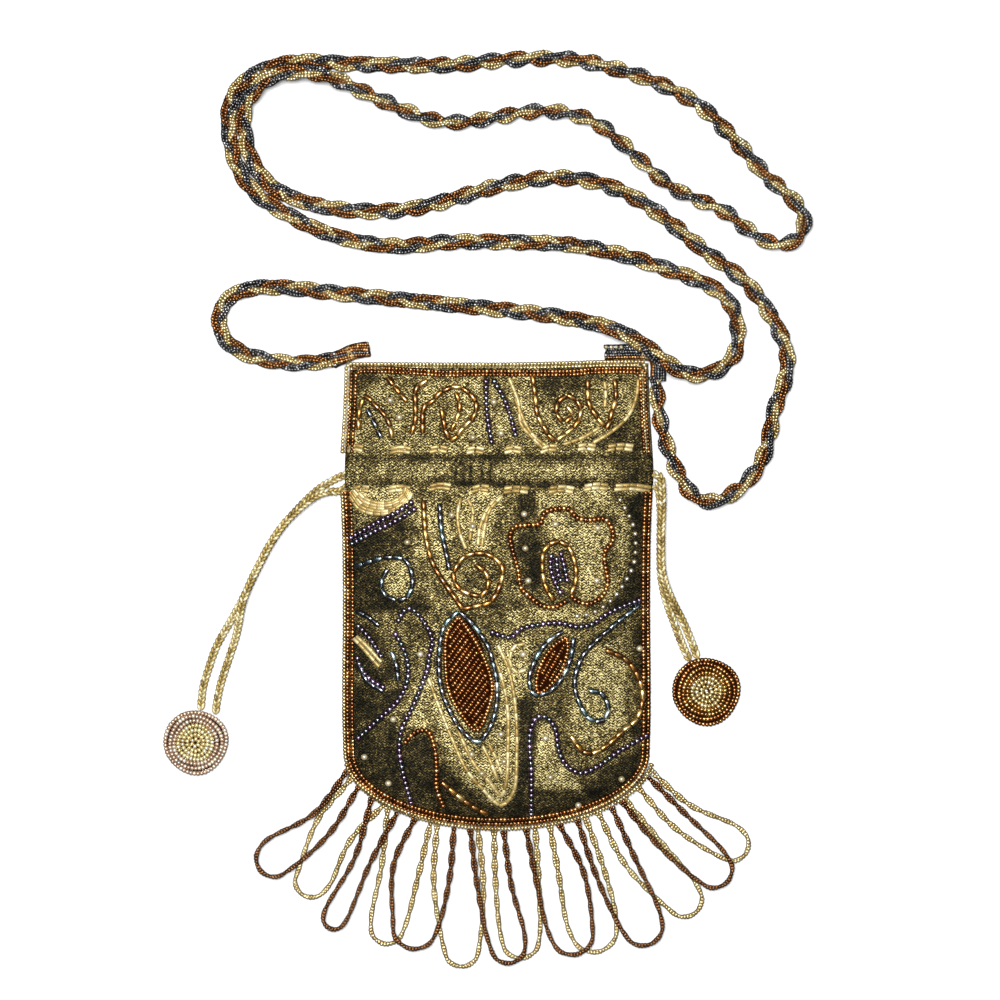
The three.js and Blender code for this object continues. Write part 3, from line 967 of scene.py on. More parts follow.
def charted(points: Points) -> Array:
    """Returns the chart's columns to the right and rows down as millimetres in the pouch's plane."""
    return (np.array(points, float) - CHART_CENTRE) * np.array([CHART_PITCH, -CHART_PITCH])


def inside(outline: Array, places: Array) -> Array:
    """Finds the places inside an outline.

    Args:
        outline: the outline's corners.
        places: the places that are tested.

    Returns:
        True for each place that is inside.
    """
    found = np.zeros(len(places), bool)
    for (x1, y1), (x2, y2) in zip(outline, np.roll(outline, -1, axis=0)):
        spans = (y1 > places[:, 1]) != (y2 > places[:, 1])
        with np.errstate(divide="ignore", invalid="ignore"):
            crossing = x1 + (places[:, 1] - y1) * (x2 - x1) / (y2 - y1)
        found ^= spans & (places[:, 0] < crossing)
    return found


@dataclass
class Pouch(Assembly):
    """The two cloths of the pouch, and the form that everything sewn on it follows."""

    mouth_y: float = 83.5
    round_y: float = -57.2
    round_depth: float = 26.3
    inset: float = 2.46
    back_inset: float = 0.5
    casing_flare: float = 1.7
    casing: tuple[float, float] = (37.4, 50.0)
    back_cloth: float = 1.2
    front_cloth: float = 1.4
    seam_z: float = 1.55
    bulge_power: float = 0.75
    ease: float = 1.5
    flare_out: float = 1.0
    flare_in: float = 1.2
    casing_y: float = 43.7
    gather_reach: float = 6.5
    gather_height: float = 0.275
    wave_height: float = 0.22
    columns: int = 108
    rows: int = 160
    back_coarseness: int = 3
    # The painted sheen of the plain ground, and what the light and dark zones add to it.
    ground: float = 0.36
    light_sheen: float = 0.25
    dark_sheen: float = -0.25
    sheen_range: Range = (0.03, 0.95)
    edge_softness: float = 0.5
    outline_step: int = 6
    sections: tuple[Section, ...] = (
        Section(83.5, 54.2, 6.6),
        Section(75.0, 54.4, 7.2),
        Section(65.0, 54.8, 7.2),
        Section(56.0, 55.4, 6.6),
        Section(50.0, 55.8, 5.2),
        Section(47.0, 56.0, 6.2),
        Section(41.0, 56.0, 6.3),
        Section(37.4, 55.8, 5.4),
        Section(31.0, 55.4, 7.0),
        Section(20.0, 55.0, 7.9),
        Section(5.0, 54.8, 8.6),
        Section(-12.0, 54.8, 9.0),
        Section(-30.0, 55.0, 9.0),
        Section(-45.0, 55.0, 8.6),
        Section(-57.2, 54.6, 8.2),
    )
    spots: tuple[Spot, ...] = (
        # Painted sheen over the upper front.
        Spot(0.0, 65.0, 95.0, 13.0, 0.18),
        # Painted shade along the casing's stitched edges and at its right end, and painted sheen on its
        # rounded middle.
        Spot(0.0, 49.2, 60.0, 1.3, -0.30),
        Spot(-30.0, 44.5, 24.0, 2.8, 0.15),
        Spot(20.0, 44.8, 22.0, 2.8, 0.25),
        Spot(50.0, 44.0, 8.0, 5.0, -0.30),
        Spot(0.0, 39.6, 60.0, 1.3, -0.30),
        # Painted shade in the valleys of the gathers.
        *(Spot(x, 43.8, 0.7, 3.4, -0.5) for x in (-15.6, -12.8, -10.2, -6.5, -2.9)),
        # Painted sheen round the casing's dashes.
        *(Spot(x, 51.4, 3.4, 1.6, 0.3) for x in (-51.5, -35.3, -21.6, -8.3, 5.0, 18.0, 31.3, 43.6)),
        *(Spot(x, 37.6, 4.0, 1.6, 0.4) for x in (-49.3, -35.6, -20.9, -6.5, 6.1, 22.3, 34.9, 47.9)),
    )
    # Zones of the brocade, charted in squares, lighter and darker than the ground: partly its woven figure,
    # partly painted sheen and painted shade where the cloth turns to or from the light.
    light: tuple[Points, ...] = (
        ((352, 494), (365, 490), (410, 490), (412, 500), (396, 512), (372, 512)),
        ((457, 496), (470, 493), (502, 493), (496, 518), (486, 547), (467, 547), (457, 518)),
        ((426, 496), (442, 499), (453, 563), (458, 608), (435, 560), (427, 528)),
        ((403, 512), (424, 499), (432, 557), (413, 550)),
        ((386, 563), (406, 560), (411, 582), (400, 598), (386, 589)),
        (
            (544, 518), (572, 514), (607, 522), (610, 544), (604, 563), (606, 595), (582, 601),
            (575, 563), (560, 544), (544, 531),
        ),
        ((614, 503), (626, 518), (628, 557), (617, 585), (601, 605), (610, 570), (615, 531)),
        ((537, 493), (607, 491), (610, 506), (572, 507), (540, 518)),
        ((508, 608), (553, 606), (604, 611), (579, 624), (528, 628), (508, 620)),
        ((413, 614), (432, 636), (429, 662), (406, 716), (422, 729), (438, 716), (435, 659), (440, 627)),
        ((432, 684), (445, 687), (480, 748), (502, 786), (504, 802), (470, 780), (442, 735)),
        ((499, 636), (515, 640), (517, 738), (512, 786), (504, 793), (483, 751), (499, 700)),
        ((536, 729), (550, 721), (558, 748), (572, 770), (585, 778), (579, 786), (537, 785)),
        ((575, 656), (601, 643), (626, 656), (636, 691), (630, 726), (601, 745), (582, 745), (572, 716)),
        ((515, 636), (534, 633), (528, 662), (534, 694), (521, 694)),
        ((360, 640), (368, 636), (388, 668), (380, 672)),
    )
    dark: tuple[Points, ...] = (
        ((639, 378), (637, 401), (626, 418), (610, 431), (585, 444), (647, 450), (651, 378)),
        ((355, 374), (376, 375), (369, 388), (356, 394)),
        ((534, 376), (560, 376), (553, 401), (537, 408)),
        ((564, 377), (587, 377), (589, 410), (582, 397), (569, 391)),
        ((518, 493), (537, 492), (536, 512), (521, 520)),
        ((518, 534), (534, 531), (540, 557), (542, 582), (528, 587), (520, 563)),
        ((623, 500), (645, 494), (646, 598), (626, 605), (610, 608), (628, 570), (632, 538)),
        ((352, 547), (387, 531), (413, 518), (422, 538), (403, 554), (378, 554), (352, 570)),
        ((352, 570), (379, 563), (383, 592), (403, 605), (426, 595), (435, 611), (406, 608), (354, 612)),
        ((352, 620), (375, 624), (387, 646), (394, 678), (368, 684), (352, 659)),
        ((350, 684), (384, 692), (404, 686), (394, 707), (354, 742)),
        ((352, 744), (384, 719), (395, 713), (398, 742), (403, 786), (410, 809), (378, 792), (354, 765)),
        ((405, 745), (422, 734), (434, 742), (437, 786), (442, 812), (411, 812), (402, 767)),
        (
            (440, 754), (457, 774), (477, 796), (502, 807), (521, 796), (529, 812), (508, 822),
            (457, 822), (440, 800),
        ),
        ((518, 697), (531, 691), (529, 793), (518, 799), (517, 754)),
        ((534, 787), (572, 787), (585, 794), (572, 818), (534, 820)),
        ((566, 764), (585, 777), (610, 764), (650, 743), (650, 770), (630, 797), (595, 814), (585, 793)),
        ((630, 630), (650, 622), (650, 738), (634, 736), (623, 712), (625, 676), (633, 655)),
    )

    def column(self, name: str, y: Array) -> Array:
        """Reads one column of the sections, eased between the rows.

        Args:
            name: the column.
            y: the heights that it is read at.

        Returns:
            The column's values.
        """
        rows = self.sections[::-1]
        heights = [row.y for row in rows]
        values = [getattr(row, name) for row in rows]
        shifts = (-self.ease, 0.0, self.ease)
        return sum(np.interp(y + shift, heights, values) for shift in shifts) / len(shifts)

    def margin(self, y: Array) -> Array:
        """Works out how far inside the outline the front cloth ends, which is less at the casing.

        Args:
            y: the heights.

        Returns:
            The distances.
        """
        low, high = self.casing
        above = smoothstep(low - self.flare_out, low + self.flare_in, y)
        below = 1.0 - smoothstep(high - self.flare_in, high + self.flare_out, y)
        return self.inset - self.casing_flare * (above * below)

    def bulge(self, across: Array) -> Array:
        """Returns the front's height from seam to seam, as a share of its crown."""
        return np.maximum(0.0, 1.0 - across * across) ** self.bulge_power

    @staticmethod
    def square(along: Array, other: Array) -> Array:
        """Bends a round bottom into a square.

        Args:
            along: the coordinate that is wanted, in shares of the round.
            other: the coordinate across it.

        Returns:
            The square's coordinate.
        """
        base = 2.0 + along * along - other * other
        swing = 2.0 * math.sqrt(2.0) * along
        return (np.sqrt(np.maximum(0.0, base + swing)) - np.sqrt(np.maximum(0.0, base - swing))) / 2.0

    def wrinkles(self, x: Array, y: Array) -> Array:
        """Works out the gathers near the casing and the cloth's soft waves, with pitches that never agree.

        Args:
            x: places across the pouch.
            y: places along it.

        Returns:
            The heights.
        """
        near = np.exp(-(((y - self.casing_y) / self.gather_reach) ** 2))
        gathers = np.sin(x * 0.95 + 0.8 * np.sin(x * 0.21)) + 0.6 * np.sin(x * 1.73 + 1.1)
        waves = np.sin(x / 9.0 + y / 17.0) * np.sin(y / 11.0 - x / 23.0)
        return self.gather_height * near * gathers + self.wave_height * waves

    def underside(self, x: Array, y: Array) -> Array:
        """Works out the height of the front cloth's underside.

        Args:
            x: places across the pouch.
            y: places along it.

        Returns:
            The heights.
        """
        x, y = np.asarray(x, float), np.asarray(y, float)
        straight = self.bulge(x / (self.column("half", y) - self.margin(y)))
        u = x / (self.sections[-1].half - self.inset)
        v = np.maximum(0.0, self.round_y - y) / (self.round_depth - self.inset)
        bottom = self.bulge(self.square(u, v)) * self.bulge(self.square(v, u))
        share = np.where(y >= self.round_y, straight, bottom)
        smooth = self.seam_z + self.column("crown", y) * share
        return smooth + self.wrinkles(x, y) * smoothstep(0.0, 0.5, share)

    def top(self, x: Array, y: Array) -> Array:
        """Returns the height of the front cloth's outer face."""
        return self.underside(x, y) + self.front_cloth

    def on_front(self, places: Array, lift: float | Array) -> Array:
        """Returns places in the plane as points that lie on the front cloth, raised by lift."""
        heights = self.top(places[:, 0], places[:, 1]) + lift
        return np.column_stack([places[:, :2], heights])

    def panel(self, across: Array, down: Array, front: bool) -> Array:
        """Places a grid over one cloth.

        Args:
            across: from -1 at the left seam to 1 at the right one.
            down: from 0 at the mouth to 1 at the hem.
            front: whether it is the front, which ends inside the edging, or the back, which ends under it.

        Returns:
            The places in the pouch's plane.
        """
        inset = self.inset if front else self.back_inset
        straight = self.mouth_y - inset - self.round_y
        share = straight / (straight + self.round_depth - inset)
        y = self.mouth_y - inset - straight * np.minimum(1.0, down / share)
        turn = np.maximum(0.0, (down - share) / (1.0 - share))
        margin = self.margin(y) if front else inset
        x = (self.column("half", y) - margin) * across * np.sqrt(1.0 - turn * turn / 2.0)
        y -= (self.round_depth - inset) * turn * np.sqrt(1.0 - across * across / 2.0)
        return np.column_stack([x, y])

    def cloth(self, name: str, columns: int, rows: int, thickness: float, front: bool) -> Piece:
        """Models one cloth.

        Args:
            name: the piece's name.
            columns: divisions across it.
            rows: divisions down it.
            thickness: its thickness.
            front: whether it is the bulged front or the flat back.

        Returns:
            The new piece.
        """
        shape = bmesh.new()
        bmesh.ops.create_grid(shape, x_segments=columns, y_segments=rows, size=1.0)
        flat = np.array([vert.co for vert in shape.verts])
        places = self.panel(flat[:, 0], (1.0 - flat[:, 1]) / 2.0, front)
        heights = self.top(places[:, 0], places[:, 1]) if front else np.full(len(places), thickness)
        for vert, place, height in zip(shape.verts, places, heights):
            vert.co = (place[0] * MM, place[1] * MM, height * MM)
        bmesh.ops.recalc_face_normals(shape, faces=shape.faces)
        if shape.faces[:][0].normal.z < 0.0:
            bmesh.ops.reverse_faces(shape, faces=shape.faces)
        piece = modelled(name, shape)
        piece.data.polygons.foreach_set("use_smooth", np.ones(len(piece.data.polygons), bool))
        # Painted sheen and shade, read by the brocade's material.
        write_values(piece.data, "sheen", self.sheen(places))
        wall = piece.modifiers.new("wall", "SOLIDIFY")
        wall.thickness = thickness * MM
        wall.offset = -1.0
        return piece

    def sheen(self, places: Array) -> Array:
        """Works out the brocade's painted sheen, from the charted zones, which are partly its woven figure,
        and from the soft patches of painted sheen and shade.

        Args:
            places: places in the pouch's plane.

        Returns:
            The sheen at each place.
        """
        value = np.full(len(places), self.ground)
        shifts = self.edge_softness * np.array([(-1, -1), (1, -1), (-1, 1), (1, 1)])
        for tone, outlines in ((self.light_sheen, self.light), (self.dark_sheen, self.dark)):
            share = np.zeros(len(places))
            for outline in outlines:
                edge = Route.through(charted((*outline, outline[0]))).places[:: self.outline_step]
                found = np.mean([inside(edge, places + shift) for shift in shifts], axis=0)
                share = np.maximum(share, found)
            value += tone * share
        for spot in self.spots:
            across = (places[:, 0] - spot.x) / spot.reach_x
            along = (places[:, 1] - spot.y) / spot.reach_y
            value += spot.sheen * np.exp(-(across**2 + along**2))
        return np.clip(value, *self.sheen_range)

    def build(self) -> None:
        front = self.cloth("front_cloth", self.columns, self.rows, self.front_cloth, True)
        columns, rows = self.columns // self.back_coarseness, self.rows // self.back_coarseness
        back = self.cloth("back_cloth_panel", columns, rows, self.back_cloth, False)
        self.settle(front, [Look.BROCADE], Slot.BROCADE, ["front_panel"])
        self.settle(back, [Look.BACK_CLOTH], Slot.BACK_CLOTH, ["back_panel"])


@dataclass
class Edging(Assembly):
    """Bead strings along the seams and the mouth: gold outside, two bronze rows inside."""

    pouch: Pouch
    bead: Size = Size(1.35, 1.85, 1.75)
    rim_bead: Size = Size(1.25, 1.5, 1.5)
    top_bead: Size = Size(1.3, 1.6, 1.7)
    seam_bead: Size = Size(1.25, 1.75, 1.85)
    seam_insets: tuple[float, float] = (-0.7, 1.5)
    gold_z: float = 0.98
    bronze_z: float = 2.0
    left_insets: tuple[float, float] = (0.5, 2.25)
    right_insets: tuple[float, float] = (1.3, 3.05)
    top_left_insets: tuple[float, float] = (1.3, 2.95)
    top_right_insets: tuple[float, float] = (1.9, 3.6)
    row_pitch: float = 1.4
    bronze_pitch: float = 1.32
    gold_rim: Points = ((-54, 82.8), (-30, 82.7), (-15, 82.65), (0, 82.65), (20, 83), (36, 83.5), (55, 83.7))
    bronze_rim: Points = (
        (-53, 81.2), (-43, 81.1), (-28, 80.2), (-20, 79.6), (-7, 79.8), (26, 79.9), (33, 80.6),
        (40, 80.9), (52, 80.9),
    )
    casing: tuple[float, float] = (37.0, 50.6)
    corner: float = 1.2
    stations: int = 60
    ease_reach: int = 2

    def bottom(self, left: float, right: float) -> Array:
        """Draws the way down the left side, round the bottom and up the right side.

        Args:
            left: how far inside the outline it is on the left.
            right: the same on the right.

        Returns:
            The places in the pouch's plane.
        """
        pouch = self.pouch
        heights = np.linspace(self.casing[0], pouch.round_y, self.stations, endpoint=False)
        half = pouch.column("half", heights)
        down = np.column_stack([left - half, heights])
        up = np.column_stack([half - right, heights])[::-1]
        angle = np.linspace(math.pi, TURN, 2 * self.stations)
        inset = np.linspace(left, right, len(angle))
        round_x = (pouch.sections[-1].half - inset) * np.cos(angle)
        round_y = pouch.round_y + (pouch.round_depth - inset) * np.sin(angle)
        return np.vstack([down, np.column_stack([round_x, round_y]), up])

    def upper(self, left: float, right: float, rim: Points, drop: float) -> Array:
        """Draws the way up the left side above the casing, along the mouth and down the right side.

        Args:
            left: how far inside the outline it is on the left.
            right: the same on the right.
            rim: places along the mouth that it passes.
            drop: how far below them it is.

        Returns:
            The places in the pouch's plane.
        """
        curve = Route.through(rim).places - np.array([0.0, drop])
        low = min(curve[0, 1], curve[-1, 1]) - self.corner
        heights = np.linspace(self.casing[1], low, self.stations)
        half = self.pouch.column("half", heights)
        across = np.linspace(left + self.corner - half[-1], half[-1] - right - self.corner, 2 * self.stations)
        up = np.column_stack([left - half, heights])
        down = np.column_stack([half - right, heights])[::-1]
        return np.vstack([up, np.column_stack([across, np.interp(across, *curve.T)]), down])

    def seated(self, way: Array, size: Size, base: float) -> Route:
        """Lays a way of beads at base height or on the cloth, whichever is higher.

        Args:
            way: the places in the pouch's plane.
            size: a bead's size.
            base: the least height.

        Returns:
            The line of the beads.
        """
        covered = np.abs(way[:, 0]) < self.pouch.column("half", way[:, 1]) - self.pouch.inset
        covered &= way[:, 1] > self.pouch.round_y - self.pouch.round_depth + self.pouch.inset
        covered &= way[:, 1] < self.pouch.mouth_y - self.pouch.inset
        heights = np.where(covered, self.pouch.top(way[:, 0], way[:, 1]) + size.height / 2.0, base)
        taps = 2 * self.ease_reach + 1
        padded = np.pad(heights, self.ease_reach, mode="edge")
        eased = np.convolve(padded, np.full(taps, 1.0 / taps), mode="valid")
        return Route(np.column_stack([way, np.maximum(eased, base)]))

    def sew(
        self, name: str, ways: Sequence[Array], size: Size, base: float, look: Look, slot: Slot, shade: Range
    ) -> None:
        """Builds one edging.

        Args:
            name: which edging.
            ways: the places of each row of beads.
            size: a bead's size.
            base: the beads' least height.
            look: their finish.
            slot: the record's slot.
            shade: the range of their shades.
        """
        beads = Beading(Form.BARREL)
        for way in ways:
            beads.string(self.seated(way, size, base), size, shade=shade)
        self.settle(beads.joined(f"edge_beads_{name}"), [look], slot, [f"edge_{name}"])

    def build(self) -> None:
        """Builds the four edgings."""
        gold, bronze = (self.gold_z, Look.GOLD, Slot.GOLD), (self.bronze_z, Look.BRONZE, Slot.BRONZE)
        left, right = self.seam_insets
        mouth = [
            self.upper(left + drop, right + drop, self.gold_rim, drop) for drop in (0.0, self.row_pitch)
        ]
        # The mouth's gold beads take only the lighter shades, painted light, and the seams' gold beads the
        # darker ones, painted shade where the seams turn under.
        self.sew("gold_top", mouth, self.rim_bead, *gold, (0.4, 1.0))
        self.sew("gold_lower", [self.bottom(left, right)], self.seam_bead, *gold, (0.0, 0.8))
        insets = zip(self.top_left_insets, self.top_right_insets, (0.0, self.bronze_pitch))
        mouth = [self.upper(left, right, self.bronze_rim, drop) for left, right, drop in insets]
        self.sew("bronze_top", mouth, self.top_bead, *bronze, (0.0, 1.0))
        sides = [self.bottom(*insets) for insets in zip(self.left_insets, self.right_insets)]
        self.sew("bronze_lower", sides, self.bead, *bronze, (0.0, 1.0))


@dataclass
class Drawstrings(Assembly):
    """Braided gold cords, two legs on each side, that end in beaded discs."""

    width: float = 2.7
    height_z: float = 1.3
    stack: float = 2.85
    pitch: float = 1.75
    stitch: Size = Size(2.7, 1.35, 1.05)
    slant: float = 0.5
    column_x: float = 0.68
    column_z: float = 0.4
    end_gap: float = 0.3
    # The lower stitches, on the cord's underside, take the darker shades: painted shade.
    upper_shade: Range = (0.1, 1.0)
    painted_underside_shade: Range = (0.0, 0.5)

    def routes(self) -> dict[str, Points]:
        """Returns each leg's points: across, along and how far it is lifted."""
        stack = self.stack
        return {
            "left_a": (
                (-54.7, 43, 0.6), (-56.6, 42.4, 0.3), (-62.5, 39.4, 0), (-66.9, 36.1, 0), (-75.7, 26.9, 0),
                (-81.6, 18.9, 0), (-86, 10.8, 0), (-89.6, 3.4, 0), (-93.3, -3.9, 0), (-97, -10.6, 0),
                (-101.4, -18.4, 0), (-104.4, -26.7, 0), (-106.4, -33.6, 0), (-107.3, -41.2, 0),
            ),
            "left_b": (
                (-54.7, 38.6, 0.6), (-57.3, 37, 0.5), (-61, 36.8, 1.8), (-65.4, 35.4, stack),
                (-75.7, 26.9, stack), (-81.6, 18.9, stack), (-86, 10.8, stack), (-89.6, 3.4, stack),
                (-92.2, -3.6, stack), (-93.4, -9.8, 1.8), (-94.8, -16, 0.3), (-97.4, -24, 0),
                (-99.8, -31.4, 0), (-101.2, -37.4, 0), (-102, -42.6, 0),
            ),
            "right_a": (
                (54.8, 39.6, 0.6), (57, 38, 0.2), (58, 31, 0), (58, 19.5, 0), (58.2, 7, 0), (59.8, -1.5, 0),
                (62.6, -9.5, 0), (65.2, -16.5, 0), (67, -20.8, 0), (68.3, -23.6, 0),
            ),
            "right_b": (
                (54.8, 43.6, 0.8), (57.8, 42, 2), (58.6, 36, stack), (58.2, 19.5, stack), (58.8, 7, stack),
                (61.8, -1.5, 2), (66.2, -10, 0.2), (69.2, -17, 0), (71.2, -22.6, 0),
            ),
        }

    def braid(self, name: str, route: Route) -> Piece:
        """Models one leg as columns of slanted stitches.

        Args:
            name: the piece's name.
            route: the leg's middle line.

        Returns:
            The new piece.
        """
        leg = Beading(Form.SEED)
        distances = np.arange(0.5 * self.pitch, route.length, self.pitch)
        for side in (-1, 1):
            stations = distances + 0.5 * self.pitch * (side > 0)
            stations = np.minimum(stations, route.length - self.end_gap * self.pitch)
            heading = route.headings(stations)
            across = unit(np.cross(UP, heading))
            upward = np.cross(heading, across)
            lean = heading * math.cos(self.slant) - across * (side * math.sin(self.slant))
            column = route.at(stations) + across * (side * self.column_x)
            # Lower stitches get the darker range: painted shade under the cord.
            for level, shade in ((-1, self.painted_underside_shade), (1, self.upper_shade)):
                leg.lay(column + upward * (level * self.column_z), lean, self.stitch, upward, shade)
        return leg.joined(name)

    def build(self, discs: dict[str, Piece]) -> None:
        """Args:
            discs: the beaded discs by side; not used.
        """
        for name, points in self.routes().items():
            places = np.array(points, float) + np.array([0.0, 0.0, self.height_z])
            route = Route.through(places)
            piece = self.braid(f"drawstring_cord_{name}", route)
            self.settle(piece, [Look.CORD], Slot.CORD, [f"drawstring_{name}"])


@dataclass(frozen=True)
class Disc:
    """A beaded disc: its middle, its radius and the finishes of its rings from the rim inwards."""

    side: str
    x: float
    y: float
    radius: float
    rings: tuple[Look, ...]


@dataclass
class Medallions(Assembly):
    """Rings of seed beads sewn round a core, on the drawstrings' ends."""

    bead: Size = Size(1.3, 1.75, 1.5)
    ring_pitch: float = 1.6
    floor_z: float = 0.05
    depth: float = 4.2
    dome_drop: float = 1.9
    dome_start: float = 0.55
    core_inset: float = 1.0
    core_steps: int = 32
    under_inset: float = 0.25
    under_drop: float = 0.85
    wobble: Range = (0.02, 0.012)
    shade: Range = (0.2, 1.0)
    discs: tuple[Disc, ...] = (
        # The left disc's rings are bronze and gold beads with painted glare.
        Disc("left", -109.0, -53.3, 11.8, (Look.MAUVE, Look.MAUVE, Look.MAUVE, Look.CREAM)),
        Disc("right", 74.5, -35.0, 12.4, (Look.BRONZE, Look.BRONZE, Look.AMBER, Look.AMBER, Look.GOLD)),
    )

    def rim_height(self, share: Array) -> Array:
        """Returns the dome's height at a share of the radius."""
        drop = self.dome_drop * smoothstep(self.dome_start, 1.0, np.asarray(share))
        return self.floor_z + self.depth - self.bead.height / 2.0 - drop

    def core(self, disc: Disc) -> Piece:
        """Models the filling under the beads by turning its profile.

        Args:
            disc: the disc.

        Returns:
            The new piece.
        """
        inner = disc.radius - self.core_inset
        base = ((0.0, 0.35), (inner - 0.6, 0.35), (inner, 1.2))
        dome = ((inner - 0.8, 2.2), (inner * 0.55, 3.2), (0.0, 3.4))
        shape = bmesh.new()
        verts = [shape.verts.new((radius * MM, 0.0, height * MM)) for radius, height in base + dome]
        edges = [shape.edges.new(pair) for pair in zip(verts, verts[1:])]
        bmesh.ops.spin(
            shape,
            geom=verts + edges,
            cent=(0, 0, 0),
            axis=(0, 0, 1),
            angle=TURN,
            steps=self.core_steps,
            use_merge=True,
        )
        bmesh.ops.remove_doubles(shape, verts=shape.verts, dist=1e-6)
        bmesh.ops.recalc_face_normals(shape, faces=shape.faces)
        bmesh.ops.translate(shape, verts=shape.verts, vec=(disc.x * MM, disc.y * MM, 0.0))
        return modelled(f"medallion_core_{disc.side}", shape)

    def build(self) -> dict[str, Piece]:
        """Builds both discs.

        Returns:
            The beaded pieces by side.
        """
        made = {}
        wide, narrow = self.wobble
        for disc in self.discs:
            looks = list(dict.fromkeys(disc.rings))
            beads = Beading(Form.BARREL)
            radii = np.arange(disc.radius - self.bead.width / 2.0, 0.3, -self.ring_pitch)
            rows = [(radius, float(self.rim_height(radius / disc.radius))) for radius in radii]
            rows.insert(1, (radii[0] - self.under_inset, rows[0][1] - self.under_drop))
            for index, (radius, height) in enumerate(rows):
                look = disc.rings[min(max(0, index - 1), len(disc.rings) - 1)]
                start = beads.rng.uniform(0.0, TURN)
                angle = np.linspace(start, start + TURN, max(24, int(radius * 16)))
                ripple = wide * np.sin(3.0 * angle + index) + narrow * np.sin(4.0 * angle + 0.4)
                uneven = radius * (1.0 + ripple)
                x, y = disc.x + uneven * np.cos(angle), disc.y + uneven * np.sin(angle)
                ring = Route(np.column_stack([x, y, np.full(len(angle), height)]))
                beads.string(ring, self.bead, tone=looks.index(look), shade=self.shade)
            made[disc.side] = beads.joined(f"medallion_beads_{disc.side}")
            self.settle(made[disc.side], looks, Slot.GOLD, [f"medallion_{disc.side}"])
            self.settle(self.core(disc), [Look.CORE], Slot.DARK)
        return made


@dataclass(frozen=True)
class Strand:
    """A strand of the braid: its colour, its place in the braid in turns, and its beads' looks."""

    colour: str
    phase: float
    look: Look
    slot: Slot
    shade: Range


